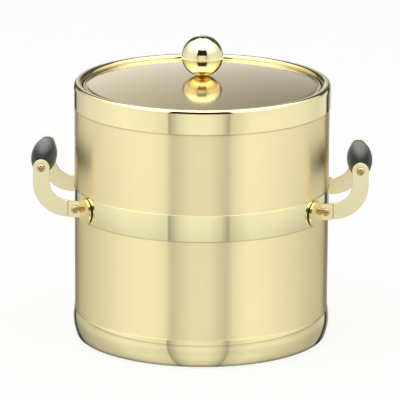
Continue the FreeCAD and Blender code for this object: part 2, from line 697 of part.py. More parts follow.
def make_grip():
    """Black barrel grip, turned along Y between the arms and bored for its rod."""
    blank = turned([
        line(at(0, -ARM_INNER_Y), at(GRIP_END_RADIUS, -ARM_INNER_Y)),
        arc(
            at(GRIP_END_RADIUS, -ARM_INNER_Y),
            at(GRIP_RADIUS, 0),
            at(GRIP_END_RADIUS, ARM_INNER_Y),
        ),
        line(at(GRIP_END_RADIUS, ARM_INNER_Y), at(0, ARM_INNER_Y)),
        line(at(0, ARM_INNER_Y), at(0, -ARM_INNER_Y)),
    ])
    bore = rod(GRIP_ROD_DIAMETER + 2 * THREAD_GAP, at(0, -ARM_INNER_Y), at(0, ARM_INNER_Y))
    return facing_y(blank.cut(bore), GRIP_X, 0, GRIP_Z)


def make_grip_rod():
    """Steel rod through the grip, tapped at both ends for the grip screws."""
    bar = rod(GRIP_ROD_DIAMETER, at(0, -ARM_INNER_Y), at(0, ARM_INNER_Y))
    depth = GRIP_SCREW_REACH + TAP_DEPTH_EXTRA
    tap = GRIP_SCREW_DIAMETER + 2 * THREAD_GAP
    bar = bar.cut(rod(tap, at(0, ARM_INNER_Y - depth), at(0, ARM_INNER_Y)))
    bar = bar.cut(rod(tap, at(0, -ARM_INNER_Y), at(0, depth - ARM_INNER_Y)))
    return facing_y(bar, GRIP_X, 0, GRIP_Z)


def make_grip_screw():
    """Cross-head screw through the upper end of an arm into the grip's rod."""
    length = ARM_THICKNESS + GRIP_SCREW_REACH
    screw = pan_screw(GRIP_HEAD_DIAMETER, GRIP_HEAD_HEIGHT, GRIP_SCREW_DIAMETER, length)
    return facing_y(screw, GRIP_X, ARM_OUTER_Y, GRIP_Z)


def make_pivot_screw():
    """Cross-head screw through the ear, the washer and the arm, which turns on it."""
    nut_end = ARM_INNER_Y - PIVOT_GAP - PIVOT_NUT_HEIGHT - PIVOT_END
    length = EAR_OUTER_Y - nut_end
    screw = pan_screw(PIVOT_HEAD_DIAMETER, PIVOT_HEAD_HEIGHT, PIVOT_DIAMETER, length)
    return facing_y(screw, PIVOT_X, EAR_OUTER_Y, BRACKET_Z)


def make_pivot_washer():
    """Thin friction washer between the ear and the arm."""
    hole = PIVOT_DIAMETER / 2 + THREAD_GAP
    washer = ring(hole, PIVOT_WASHER_DIAMETER / 2, 0, PIVOT_WASHER_THICKNESS)
    return facing_y(washer, PIVOT_X, ARM_OUTER_Y + PIVOT_GAP, BRACKET_Z)


def make_pivot_nut():
    """Hexagon nut on the inner side of the arm, with a flat towards the wall."""
    nut = hexagon(PIVOT_NUT_WIDTH, 0, PIVOT_NUT_HEIGHT)
    nut = nut.cut(rod(PIVOT_DIAMETER + 2 * THREAD_GAP, at(0, 0), at(0, PIVOT_NUT_HEIGHT)))
    return facing_y(nut, PIVOT_X, ARM_INNER_Y - PIVOT_GAP - PIVOT_NUT_HEIGHT, BRACKET_Z)


# ---- Build --------------------------------------------------------------------------------------

os.makedirs("parts", exist_ok=True)

save("outer_shell", make_outer_shell())
save("base_band", make_base_band())
save("middle_band", make_middle_band())
save("rim_band", make_rim_band())
save("inner_liner", make_inner_liner())
save("wall_insulation", make_wall_insulation())
save("floor_insulation", make_floor_insulation())
save("base_plate", make_base_plate())
save("base_pad", make_base_pad())

save("lid_cover", make_lid_cover())
save("lid_pan", make_lid_pan())
save("lid_insulation", make_lid_insulation())
save("lid_knob", make_knob())
save("knob_washer", make_knob_washer())
save("knob_screw", make_knob_screw())

for place, bracket in four_ways(make_bracket()).items():
    save(place + "_bracket", bracket)

for place, pad in four_ways(make_bracket_pad()).items():
    save(place + "_bracket_pad", pad)

save("bracket_washers", *four_ways(make_bracket_washer()).values())
save("bracket_nuts", *four_ways(make_bracket_nut()).values())
save("pivot_screws", *four_ways(make_pivot_screw()).values())
save("pivot_washers", *four_ways(make_pivot_washer()).values())
save("pivot_nuts", *four_ways(make_pivot_nut()).values())

for place, arm in four_ways(make_arm()).items():
    save(place + "_arm", arm)

grip = make_grip()
grip_rod = make_grip_rod()
grip_screws = four_ways(make_grip_screw())
save("right_grip", grip)
save("left_grip", mirrored(grip, X_AXIS))
save("right_grip_rod", grip_rod)
save("left_grip_rod", mirrored(grip_rod, X_AXIS))
save("right_grip_screws", grip_screws["right_back"], grip_screws["right_front"])
save("left_grip_screws", grip_screws["left_back"], grip_screws["left_front"])
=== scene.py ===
import math

import bpy
from mathutils import Matrix, Vector


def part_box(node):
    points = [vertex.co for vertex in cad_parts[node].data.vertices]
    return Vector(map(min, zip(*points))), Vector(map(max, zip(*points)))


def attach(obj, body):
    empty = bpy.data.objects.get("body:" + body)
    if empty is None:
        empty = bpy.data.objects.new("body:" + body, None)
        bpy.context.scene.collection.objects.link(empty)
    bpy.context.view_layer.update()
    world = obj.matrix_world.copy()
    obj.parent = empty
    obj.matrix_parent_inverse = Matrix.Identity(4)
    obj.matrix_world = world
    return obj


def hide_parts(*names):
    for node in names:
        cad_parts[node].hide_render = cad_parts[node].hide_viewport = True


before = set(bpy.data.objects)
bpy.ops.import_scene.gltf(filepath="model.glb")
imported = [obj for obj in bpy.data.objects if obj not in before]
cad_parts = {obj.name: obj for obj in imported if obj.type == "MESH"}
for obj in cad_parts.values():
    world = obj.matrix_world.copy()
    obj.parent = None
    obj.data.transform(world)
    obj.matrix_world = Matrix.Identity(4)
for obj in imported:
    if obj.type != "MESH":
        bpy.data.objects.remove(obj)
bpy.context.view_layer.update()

# A round, double-walled ice bucket in champagne brass, from its foot to its lid and its two
# handles.  Everything is in metres: the bucket's axis is Z, the handles are at -X and +X, and
# -Y is the front.


# ---- Camera --------------------------------------------------------------------------------------
# A long lens a little above the bucket and almost square to its front.

CAMERA_DISTANCE = 3.0
CAMERA_AZIMUTH = math.radians(1.15)
CAMERA_ELEVATION = math.radians(14.88)
CAMERA_ROLL = math.radians(0.335)
CAMERA_LENS = 342.4
AIM = Vector((-0.0012, 0, 0.1076))

towards_camera = Vector((
    math.sin(CAMERA_AZIMUTH) * math.cos(CAMERA_ELEVATION),
    -math.cos(CAMERA_AZIMUTH) * math.cos(CAMERA_ELEVATION),
    math.sin(CAMERA_ELEVATION),
))
camera_data = bpy.data.cameras.new("camera")
camera_data.lens = CAMERA_LENS
camera = bpy.data.objects.new("camera", camera_data)
camera.location = AIM + towards_camera * CAMERA_DISTANCE
level = towards_camera.to_track_quat("Z", "Y").to_matrix()
camera.rotation_euler = (level @ Matrix.Rotation(CAMERA_ROLL, 3, "Z")).to_euler()
bpy.context.scene.collection.objects.link(camera)
bpy.context.scene.camera = camera


# ---- Outer wall ----------------------------------------------------------------------------------
# Thin brass-plated sheet rolled into a tube, brushed round and round and lacquered.  It stands on
# the foot ring's ledge and ends inside the rolled rim.

WALL_SHEET = 0.0008
SIDES = 256                     # round the bucket
EDGE_BREAK = 0.00012            # size of the softened edges of sheet metal
SHARP_EDGE = math.radians(40)   # edges that turn by more than this are softened
SMOOTH_TURN = math.radians(50)  # faces that meet at less than this are shaded as one
BROAD_FACES = 80                # how far the broad faces outweigh the narrow ones in the shading
START_SQUARE = 0.001            # the square that an outline grows from
MERGE_REACH = 1e-6

SATIN_BRASS = (0.95, 0.83, 0.475, 1)
SATIN_EDGE = (1.0, 0.93, 0.76, 1)   # colour of its reflections seen from the side
SATIN_METAL = 0.9               # the rest is the lacquer's own soft shine


def picked(piece):
    """Select one piece alone, for the operators that follow."""
    bpy.ops.object.select_all(action="DESELECT")
    piece.select_set(True)
    bpy.context.view_layer.objects.active = piece


def closed_up():
    """Turn all the faces of the piece outwards and leave edit mode."""
    bpy.ops.mesh.select_all(action="SELECT")
    bpy.ops.mesh.normals_make_consistent(inside=False)
    bpy.ops.object.mode_set(mode="OBJECT")


def outline(name, points):
    """Draw a wire through the points, from a small square that is merged to the first of them."""
    bpy.ops.object.select_all(action="DESELECT")
    bpy.ops.mesh.primitive_plane_add(size=START_SQUARE, location=points[0])
    piece = bpy.context.object
    piece.name = name
    bpy.ops.object.transform_apply(location=True)
    bpy.ops.object.mode_set(mode="EDIT")
    bpy.ops.mesh.merge(type="CENTER")
    for here, there in zip(points, points[1:]):
        step = Vector(there) - Vector(here)
        bpy.ops.mesh.extrude_region_move(TRANSFORM_OT_translate={"value": step})
    return piece


def turned(name, section, closed=True, sides=SIDES):
    """Spin a section of (radius, height) points about Z.  An open one starts and ends on Z."""
    points = [(radius, 0, height) for radius, height in section]
    if closed:
        points.append(points[0])
    piece = outline(name, points)
    bpy.ops.mesh.select_all(action="SELECT")
    bpy.ops.mesh.spin(steps=sides, angle=math.tau, center=(0, 0, 0), axis=(0, 0, 1))
    bpy.ops.mesh.select_all(action="SELECT")
    bpy.ops.mesh.remove_doubles(threshold=MERGE_REACH)
    closed_up()
    return piece


def eased(piece, width=EDGE_BREAK, segments=2):
    """Round off a piece's sharp edges."""
    bevel = piece.modifiers.new("eased edges", "BEVEL")
    bevel.width = width
    bevel.segments = segments
    bevel.limit_method = "ANGLE"
    bevel.angle_limit = SHARP_EDGE
    bpy.context.view_layer.objects.active = piece
    bpy.ops.object.modifier_apply(modifier=bevel.name)
    return piece


def smoothed(piece):
    """Shade a piece smooth, with its broad faces kept true and its sharp edges kept sharp."""
    picked(piece)
    bpy.ops.object.shade_smooth_by_angle(angle=SMOOTH_TURN)
    broad = piece.modifiers.new("broad faces", "WEIGHTED_NORMAL")
    broad.weight = BROAD_FACES
    broad.keep_sharp = True
    bpy.ops.object.modifier_apply(modifier=broad.name)


def coated(piece, material):
    """Give a piece this one material."""
    piece.data.materials.clear()
    piece.data.materials.append(material)


def dressed(piece, material, body, slot, *nodes):
    """Finish a piece: its shading, material and body, and the nodes that it replaces.  The slot is
    not used.
    """
    smoothed(piece)
    coated(piece, material)
    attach(piece, body)
    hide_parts(*nodes)


def group_sockets(tree, output, **inputs):
    """Give a node group its one output and its inputs, each with its starting value."""
    tree.interface.new_socket(name=output, in_out="OUTPUT", socket_type="NodeSocketFloat")
    for name, value in inputs.items():
        kind = "NodeSocketVector" if value is None else "NodeSocketFloat"
        socket = tree.interface.new_socket(name=name, in_out="INPUT", socket_type=kind)
        if value is not None:
            socket.default_value = value
    given = tree.nodes.new("NodeGroupInput").outputs
    return given, tree.nodes.new("NodeGroupOutput").inputs[output]


def math_node(tree, operation, first, second=None):
    """The result of a sum on one or two sockets or numbers."""
    node = tree.nodes.new("ShaderNodeMath")
    node.operation = operation
    for place, value in enumerate((first, second)):
        if value is None:
            continue
        if isinstance(value, (int, float)):
            node.inputs[place].default_value = value
        else:
            tree.links.new(value, node.inputs[place])
    return node.outputs[0]


def split_up(tree, place):
    """The X, Y and Z of a place."""
    split = tree.nodes.new("ShaderNodeSeparateXYZ")
    tree.links.new(place, split.inputs[0])
    return split.outputs


def off_axis(tree, place):
    """How far a place is from the bucket's axis."""
    x, y, _ = split_up(tree, place)
    squares = [math_node(tree, "MULTIPLY", part, part) for part in (x, y)]
    return math_node(tree, "SQRT", math_node(tree, "ADD", *squares))


def round_axis(tree, place):
    """How far a place is round the bucket's axis from the front, in radians."""
    x, y, _ = split_up(tree, place)
    return math_node(tree, "ARCTAN2", x, math_node(tree, "MULTIPLY", y, -1.0))


def speckled(tree, place, **settings):
    """Noise over a piece, from 0 to 1.  Each setting is a number or a socket."""
    noise = tree.nodes.new("ShaderNodeTexNoise")
    tree.links.new(place, noise.inputs["Vector"])
    for name, value in settings.items():
        if isinstance(value, (int, float)):
            noise.inputs[name].default_value = value
        else:
            tree.links.new(value, noise.inputs[name])
    return noise.outputs["Fac"]


def stepped(tree, value, start, full):
    """0 at a value's start, 1 where it is full, and smooth between."""
    node = tree.nodes.new("ShaderNodeMapRange")
    node.interpolation_type = "SMOOTHSTEP"
    node.inputs["From Min"].default_value = start
    node.inputs["From Max"].default_value = full
    tree.links.new(value, node.inputs["Value"])
    return node.outputs["Result"]


def make_round_lines():
    """Fine lines that run up round metal, round it or outwards, by their three scales."""
    tree = bpy.data.node_groups.new("round_lines", "ShaderNodeTree")
    given, lines = group_sockets(tree, "Lines", Position=None, Around=100, Up=1, Outwards=1)
    join = tree.nodes.new("ShaderNodeCombineXYZ")
    for place, (measure, scale) in enumerate((
        (round_axis(tree, given["Position"]), "Around"),
        (split_up(tree, given["Position"])[2], "Up"),
        (off_axis(tree, given["Position"]), "Outwards"),
    )):
        tree.links.new(math_node(tree, "MULTIPLY", measure, given[scale]), join.inputs[place])
    tree.links.new(speckled(tree, join.outputs[0], Scale=1, Detail=4, Roughness=0.6), lines)
    return tree


def make_soft_marks():
    """Soft patches where metal has been handled and wiped, from 0 to 1."""
    tree = bpy.data.node_groups.new("soft_marks", "ShaderNodeTree")
    given, marks = group_sockets(tree, "Marks", Position=None, Size=20)
    patches = speckled(tree, given["Position"], Scale=given["Size"], Detail=3, Distortion=0.6)
    tree.links.new(stepped(tree, patches, start=0.35, full=0.7), marks)
    return tree


round_lines = make_round_lines()
soft_marks = make_soft_marks()


def new_material(name, colour, metallic=0.0, roughness=0.3):
    """A material with one Principled BSDF.  Returns the material, its node tree and that shader."""
    material = bpy.data.materials.new(name)
    material.use_nodes = True
    material.diffuse_color = colour
    tree = material.node_tree
    shader = tree.nodes["Principled BSDF"]
    shader.inputs["Base Color"].default_value = colour
    shader.inputs["Metallic"].default_value = metallic
    shader.inputs["Roughness"].default_value = roughness
    return material, tree, shader


def object_place(tree):
    """The place on a piece, in Object coordinates."""
    return tree.nodes.new("ShaderNodeTexCoord").outputs["Object"]


def placed_group(tree, group, **values):
    """Put a node group in a material, on Object coordinates, with its own values."""
    node = tree.nodes.new("ShaderNodeGroup")
    node.node_tree = group
    tree.links.new(object_place(tree), node.inputs["Position"])
    for name, value in values.items():
        node.inputs[name].default_value = value
    return node.outputs[0]


def ranged(tree, value, low, high):
    """Spread a value from 0 to 1 over a range."""
    node = tree.nodes.new("ShaderNodeMapRange")
    node.inputs["To Min"].default_value = low
    node.inputs["To Max"].default_value = high
    tree.links.new(value, node.inputs["Value"])
    return node.outputs["Result"]


def mixed(tree, share, base, over, kind="RGBA"):
    """One colour or value over another, by a share from 0 to 1."""
    node = tree.nodes.new("ShaderNodeMix")
    node.data_type = kind
    for socket, value in (("Factor", share), ("A", base), ("B", over)):
        if isinstance(value, bpy.types.NodeSocket):
            tree.links.new(value, node.inputs[socket])
        else:
            node.inputs[socket].default_value = value
    return node.outputs["Result"]


def smeared_upright(tree, shader):
    """Smear a metal's reflections up and down, across the brushing that runs round it."""
    shader.inputs["Anisotropic"].default_value = 1.0
    upright = tree.nodes.new("ShaderNodeCombineXYZ")
    upright.inputs["Z"].default_value = 1.0
    tree.links.new(upright.outputs[0], shader.inputs["Tangent"])


def roughened(tree, shader, grain, smooth, rough, marks=None, marked=0.0):
    """Roughness between two values by the grain, and this much more where the piece is marked."""
    result = ranged(tree, grain, smooth, rough)
    if marks:
        result = math_node(tree, "ADD", result, ranged(tree, marks, 0.0, marked))
    tree.links.new(result, shader.inputs["Roughness"])


def raised(tree, shader, height, depth):
    """Bump a surface by a value from 0 to 1, this many metres deep."""
    node = tree.nodes.new("ShaderNodeBump")
    node.inputs["Distance"].default_value = depth
    tree.links.new(height, node.inputs["Height"])
    tree.links.new(node.outputs["Normal"], shader.inputs["Normal"])


def shaded(colour, share):
    """A colour made darker or lighter."""
    return tuple(channel * share for channel in colour[:3]) + (1,)


def varied(tree, grain, colour, low=1.0, high=1.0):
    """A colour that is this much darker or lighter where the grain is low and where it is high."""
    return mixed(tree, grain, shaded(colour, low), shaded(colour, high))


def make_fine_line():
    """A fine line where a value passes an edge, from 0 to 1."""
    tree = bpy.data.node_groups.new("fine_line", "ShaderNodeTree")
    given, line = group_sockets(tree, "Line", Value=0, Edge=0, Width=0.001)
    away = math_node(tree, "ABSOLUTE", math_node(tree, "SUBTRACT", given["Value"], given["Edge"]))
    faded = math_node(tree, "SUBTRACT", 1.0, math_node(tree, "DIVIDE", away, given["Width"]))
    faded.node.use_clamp = True
    tree.links.new(faded, line)
    return tree


fine_line = make_fine_line()


def lined(tree, colour, value, edge, width, over, share=1.0):
    """A colour with a fine line of another where a value passes an edge."""
    node = tree.nodes.new("ShaderNodeGroup")
    node.node_tree = fine_line
    tree.links.new(value, node.inputs["Value"])
    node.inputs["Edge"].default_value = edge
    node.inputs["Width"].default_value = width
    return mixed(tree, math_node(tree, "MULTIPLY", node.outputs["Line"], share), colour, over)


wall_low, wall_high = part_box("outer_shell")
rim_low, rim_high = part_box("rim_band")
strip_low, strip_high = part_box("middle_band")
RING_SHADOW_LINE = 0.0009            # width of a dark line painted on the wall under each ring, as its shadow
RING_SHADOW_DROP = 0.0003
RING_SHADOW_SHARE = 0.6


def make_satin_brass():
    material, tree, shader = new_material("satin_brass", SATIN_BRASS, metallic=SATIN_METAL)
    shader.inputs["Specular Tint"].default_value = SATIN_EDGE
    smeared_upright(tree, shader)
    lines = placed_group(tree, round_lines, Around=20, Up=4200, Outwards=60)
    marks = placed_group(tree, soft_marks, Size=22)
    colour = varied(tree, lines, SATIN_BRASS, low=0.97, high=1.02)
    height = split_up(tree, object_place(tree))[2]
    # Painted shadow: a dark line on the wall just under the rim and under the middle ring.
    painted_ring_shadow = shaded(SATIN_BRASS, 0.35)
    for ring_edge in (rim_low.z, strip_low.z):
        line_z = ring_edge - RING_SHADOW_DROP
        colour = lined(tree, colour, height, line_z, RING_SHADOW_LINE, painted_ring_shadow, RING_SHADOW_SHARE)
    tree.links.new(colour, shader.inputs["Base Color"])
    roughened(tree, shader, lines, smooth=0.28, rough=0.32, marks=marks, marked=0.02)
    raised(tree, shader, lines, depth=0.000001)
    return material


satin_brass = make_satin_brass()
WALL_RADIUS = wall_high.x
outer_wall = eased(turned("outer_wall", [
    (WALL_RADIUS - WALL_SHEET, wall_low.z),
    (WALL_RADIUS, wall_low.z),
    (WALL_RADIUS, wall_high.z),
    (WALL_RADIUS - WALL_SHEET, wall_high.z),
]))
dressed(outer_wall, satin_brass, "bucket", "satin_brass", "outer_shell")


# ---- Foot ring -----------------------------------------------------------------------------------
# Brass-plated ring spun with a full belly and polished bright.  A ledge inside it carries the wall,
# and a lip under it carries the base plate.

RING_FOOT = 0.0984              # radius at the foot, half-way up and at the top
RING_BELLY = 0.10109
RING_TOP = 0.1004
RING_LEDGE = 0.002
RING_LEDGE_Z = 0.006
RING_LIP = 0.003

POLISHED_BRASS = (0.93, 0.825, 0.47, 1)


def arc(start, middle, end, steps):
    """The points after start, up to end, of the arc through three points of a section."""
    (ax, ay), (bx, by), (cx, cy) = start, middle, end
    double_area = 2 * (ax * (by - cy) + bx * (cy - ay) + cx * (ay - by))
    a2, b2, c2 = ax * ax + ay * ay, bx * bx + by * by, cx * cx + cy * cy
    centre_x = (a2 * (by - cy) + b2 * (cy - ay) + c2 * (ay - by)) / double_area
    centre_y = (a2 * (cx - bx) + b2 * (ax - cx) + c2 * (bx - ax)) / double_area
    radius = math.hypot(ax - centre_x, ay - centre_y)
    first, half, last = (
        math.atan2(y - centre_y, x - centre_x) for x, y in (start, middle, end)
    )
    onwards = (half - first) % math.tau < (last - first) % math.tau
    sweep = (last - first) % math.tau if onwards else -((first - last) % math.tau)
    points = []
    for step in range(1, steps + 1):
        turn = first + sweep * step / steps
        points.append((centre_x + radius * math.cos(turn), centre_y + radius * math.sin(turn)))
    return points


def make_polished_brass(name, colour, least_rough=0.035):
    """Bright brass with faint polishing hairlines that run round it."""
    material, tree, shader = new_material(name, colour, metallic=1.0)
    lines = placed_group(tree, round_lines, Around=5, Up=3000, Outwards=3000)
    marks = placed_group(tree, soft_marks, Size=30)
    tree.links.new(varied(tree, marks, colour, high=0.97), shader.inputs["Base Color"])
    roughened(tree, shader, lines, least_rough, 2 * least_rough, marks=marks, marked=0.03)
    raised(tree, shader, lines, depth=0.0000006)
    return material


polished_brass = make_polished_brass("polished_brass", POLISHED_BRASS)
ring_low, ring_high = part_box("base_band")
plate_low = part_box("base_plate")[0]
foot = (RING_FOOT, ring_low.z)
belly = (RING_BELLY, ring_high.z / 2)
ring_top = (RING_TOP, ring_high.z)
bore = WALL_RADIUS - RING_LEDGE
foot_ring = eased(turned("foot_ring", [
    foot,
    *arc(foot, belly, ring_top, steps=28),
    (WALL_RADIUS, ring_high.z),
    (WALL_RADIUS, RING_LEDGE_Z),
    (bore, RING_LEDGE_Z),
    (bore, plate_low.z),
    (bore - RING_LIP, plate_low.z),
    (bore - RING_LIP, ring_low.z),
]))
dressed(foot_ring, polished_brass, "bucket", "polished_brass", "base_band")


# ---- Middle ring ---------------------------------------------------------------------------------
# Flat strip of paler polished brass bent round the wall, with its edges rounded.  The brackets of
# the handles are bolted through it.

STRIP_BRASS = (0.91, 0.85, 0.49, 1)
STRIP_EDGE = 0.00045            # the strip's rounded edges

STRIP_RADIUS = strip_high.x
strip_brass = make_polished_brass("strip_brass", STRIP_BRASS)
middle_ring = eased(turned("middle_ring", [
    (WALL_RADIUS, strip_low.z),
    (STRIP_RADIUS, strip_low.z),
    (STRIP_RADIUS, strip_high.z),
    (WALL_RADIUS, strip_high.z),
]), width=STRIP_EDGE, segments=4)
dressed(middle_ring, strip_brass, "bucket", "polished_brass", "middle_band")


# ---- Rolled rim ----------------------------------------------------------------------------------
# Polished sheet rolled over the mouth: a deep skirt outside, a round crest, and a skirt inside that
# hides the joint between the wall and the liner.

RIM_SHEET = 0.0009
RIM_WIDTH = 0.0071
RIM_SHOULDER = 0.006            # outside radius where the skirt leans in
RIM_CORNER = 0.0022             # outside radius between that shoulder and the crest
RIM_LEAN = 30                   # degrees that the shoulder leans in
RIM_EDGE = 0.0004
# A darker colour painted on the inside of the mouth, as shade.
MOUTH_SHADE = (0.80, 0.68, 0.31, 1)
MOUTH_SHADE_START = 0.0014          # where the painted shade starts and is full, inside the crest
MOUTH_SHADE_FULL = 0.0026

ledge_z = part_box("lid_cover")[0].z
RIM_RADIUS = rim_high.x
MOUTH_RADIUS = RIM_RADIUS - RIM_WIDTH
roll = RIM_WIDTH / 2
roll_middle = MOUTH_RADIUS + roll
roll_z = rim_high.z - roll
lean = math.radians(RIM_LEAN)
between = RIM_SHOULDER - RIM_CORNER
shoulder_z = rim_high.z - RIM_CORNER - between * math.sin(lean)
shoulder = (RIM_RADIUS - RIM_SHOULDER, shoulder_z)
corner = (shoulder[0] + between * math.cos(lean), shoulder_z + between * math.sin(lean))


def on_circle(centre, radius, degrees):
    turn = math.radians(degrees)
    return (centre[0] + radius * math.cos(turn), centre[1] + radius * math.sin(turn))


def round_corner(centre, radius, start, finish, steps):
    """The points of a round corner of a section, from one angle to another."""
    first = on_circle(centre, radius, start)
    half_way = on_circle(centre, radius, (start + finish) / 2)
    return [first] + arc(first, half_way, on_circle(centre, radius, finish), steps)


def crest(below):
    """The section over the crest, from outside to inside, on its face or this far inside it."""
    return (
        round_corner(shoulder, RIM_SHOULDER - below, 0, RIM_LEAN, steps=12)
        + round_corner(corner, RIM_CORNER - below, RIM_LEAN, 90, steps=12)[1:]
        + round_corner((roll_middle, roll_z), roll - below, 90, 180, steps=16)
    )


def make_rim_brass():
    """Polished brass with a darker, warmer colour painted inside the mouth as its shade."""
    material = make_polished_brass("rim_brass", POLISHED_BRASS)
    tree = material.node_tree
    shader = tree.nodes["Principled BSDF"]
    polish = shader.inputs["Base Color"].links[0].from_socket
    radius = off_axis(tree, object_place(tree))
    # Painted shade: the inner half of the roll is darker.
    inside = stepped(tree, radius, roll_middle - MOUTH_SHADE_START, roll_middle - MOUTH_SHADE_FULL)
    tree.links.new(mixed(tree, inside, polish, MOUTH_SHADE), shader.inputs["Base Color"])
    return material


rolled_rim = eased(turned("rolled_rim", [
    (RIM_RADIUS - RIM_SHEET, rim_low.z),
    (RIM_RADIUS, rim_low.z),
    *crest(0),
    (MOUTH_RADIUS, ledge_z),
    (MOUTH_RADIUS + RIM_SHEET, ledge_z),
    *reversed(crest(RIM_SHEET)),
]), width=RIM_EDGE, segments=3)
dressed(rolled_rim, make_rim_brass(), "bucket", "polished_brass", "rim_band")


# ---- Liner ---------------------------------------------------------------------------------------
# Stainless inner bucket, drawn in one piece with the ledge that the lid sits on and a short collar
# behind the rim.  Spinning has left fine rings on its wall and floor.

LINER_SHEET = 0.0008
LINER_CORNER = 0.012
LINER_COLLAR = 0.007
LINER_GAP = 0.0107              # between the faces of the outer wall and the liner
LINER_STEEL = (0.70, 0.695, 0.68, 1)


def make_liner_steel():
    material, tree, shader = new_material("liner_steel", LINER_STEEL, metallic=1.0)
    lines = placed_group(tree, round_lines, Around=4, Up=900, Outwards=900)
    marks = placed_group(tree, soft_marks, Size=26)
    colour = varied(tree, lines, LINER_STEEL, low=0.9)
    tree.links.new(colour, shader.inputs["Base Color"])
    roughened(tree, shader, lines, smooth=0.2, rough=0.34, marks=marks, marked=0.06)
    raised(tree, shader, lines, depth=0.000008)
    return material


liner_steel = make_liner_steel()
liner_low, liner_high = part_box("inner_liner")
COLLAR_RADIUS = liner_high.x
LINER_RADIUS = WALL_RADIUS - LINER_GAP
inside = LINER_RADIUS - LINER_SHEET
floor_z = liner_low.z + LINER_SHEET
liner_corner = (inside - LINER_CORNER, floor_z + LINER_CORNER)
liner = eased(turned("liner_bucket", [
    (0, liner_low.z),
    *round_corner(liner_corner, LINER_CORNER + LINER_SHEET, -90, 0, steps=12),
    (LINER_RADIUS, ledge_z - LINER_SHEET),
    (COLLAR_RADIUS, ledge_z - LINER_SHEET),
    (COLLAR_RADIUS, ledge_z + LINER_COLLAR),
    (COLLAR_RADIUS - LINER_SHEET, ledge_z + LINER_COLLAR),
    (COLLAR_RADIUS - LINER_SHEET, ledge_z),
    (inside, ledge_z),
    *round_corner(liner_corner, LINER_CORNER, 0, -90, steps=12),
    (0, floor_z),
], closed=False))
dressed(liner, liner_steel, "bucket", "liner_steel", "inner_liner")


# ---- Insulation ----------------------------------------------------------------------------------
# Cream foam poured or cut to fill the walls, the floor and the lid, and sealed in.  It has small
# closed cells.

CREAM_FOAM = (0.80, 0.73, 0.55, 1)
FOAM_CELLS = 700                # cells in a metre


def make_cream_foam():
    material, tree, shader = new_material("cream_foam", CREAM_FOAM, roughness=0.9)
    cells = tree.nodes.new("ShaderNodeTexVoronoi")
    cells.inputs["Scale"].default_value = FOAM_CELLS
    tree.links.new(object_place(tree), cells.inputs["Vector"])
    colour = varied(tree, cells.outputs["Distance"], CREAM_FOAM, high=0.8)
    tree.links.new(colour, shader.inputs["Base Color"])
    raised(tree, shader, cells.outputs["Distance"], depth=0.0002)
    return material


cream_foam = make_cream_foam()
for node in ("wall_insulation", "floor_insulation", "lid_insulation"):
    coated(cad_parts[node], cream_foam)


# ---- Base ----------------------------------------------------------------------------------------
# Steel disc on the foot ring's lip, with a black rubber disc glued under it that the bucket stands
# on.  The rubber is moulded with rings that grip the table.

PAD_GROOVES = 5
PAD_GROOVE_DEPTH = 0.0005
PAD_GROOVE_WIDTH = 0.0035
HARDWARE_STEEL = (0.52, 0.51, 0.50, 1)
BLACK_RUBBER = (0.012, 0.012, 0.012, 1)


def make_fine_grain():
    """Fine even grain all over a piece, from 0 to 1."""
    tree = bpy.data.node_groups.new("fine_grain", "ShaderNodeTree")
    given, grain = group_sockets(tree, "Grain", Position=None, Scale=1000, Detail=2)
    noise = speckled(tree, given["Position"], Scale=given["Scale"], Detail=given["Detail"])
    tree.links.new(noise, grain)
    return tree


fine_grain = make_fine_grain()


def make_hardware_steel():
    material, tree, shader = new_material("hardware_steel", HARDWARE_STEEL, metallic=1.0)
    grain = placed_group(tree, fine_grain, Scale=900)
    colour = varied(tree, grain, HARDWARE_STEEL, low=0.85, high=1.1)
    tree.links.new(colour, shader.inputs["Base Color"])
    roughened(tree, shader, grain, smooth=0.22, rough=0.4)
    raised(tree, shader, grain, depth=0.00001)
    return material


def make_black_rubber():
    material, tree, shader = new_material("black_rubber", BLACK_RUBBER)
    grain = placed_group(tree, fine_grain, Scale=1500, Detail=4)
    colour = varied(tree, grain, BLACK_RUBBER, low=0.7, high=1.6)
    tree.links.new(colour, shader.inputs["Base Color"])
    roughened(tree, shader, grain, smooth=0.6, rough=0.85)
    raised(tree, shader, grain, depth=0.00005)
    return material


hardware_steel = make_hardware_steel()
black_rubber = make_black_rubber()
pad_low, pad_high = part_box("base_pad")
pad_radius = pad_high.x
pad_section = [(0, pad_high.z), (pad_radius, pad_high.z), (pad_radius, pad_low.z)]
for groove in range(PAD_GROOVES):
    outer = pad_radius - (2 * groove + 1) * PAD_GROOVE_WIDTH
    pad_section += [
        (outer, pad_low.z),
        (outer - PAD_GROOVE_DEPTH, pad_low.z + PAD_GROOVE_DEPTH),
        (outer - PAD_GROOVE_WIDTH + PAD_GROOVE_DEPTH, pad_low.z + PAD_GROOVE_DEPTH),
        (outer - PAD_GROOVE_WIDTH, pad_low.z),
    ]
pad_section.append((0, pad_low.z))
base_pad = eased(turned("base_rubber", pad_section, closed=False))
dressed(base_pad, black_rubber, "bucket", "black_rubber", "base_pad")


# ---- Lid -----------------------------------------------------------------------------------------
# Shallow dome spun from brass-plated sheet, with a groove and a round bead at its edge and a skirt
# that is hemmed round the pan below it.  Its top is brushed in fine rings and lacquered.

LID_SHEET = 0.0008
DOME_RADIUS = 0.5492
BEAD_RADIUS = 0.00115
GROOVE_WIDTH = 0.002
GROOVE_DEPTH = 0.00022
GROOVE_STEP = 0.0006            # width of the flat beside the bead
HEM_WIDTH = 0.0024
HEM_THICKNESS = 0.0006
KNOB_FLAT = 0.008               # radius of the flat crown under the knob
BRUSHED_BRASS = (0.86, 0.74, 0.45, 1)


def dome_drop(radius, sphere=DOME_RADIUS):
    """How far the dome has fallen from its crown at this radius."""
    return sphere - math.sqrt(sphere**2 - radius**2)


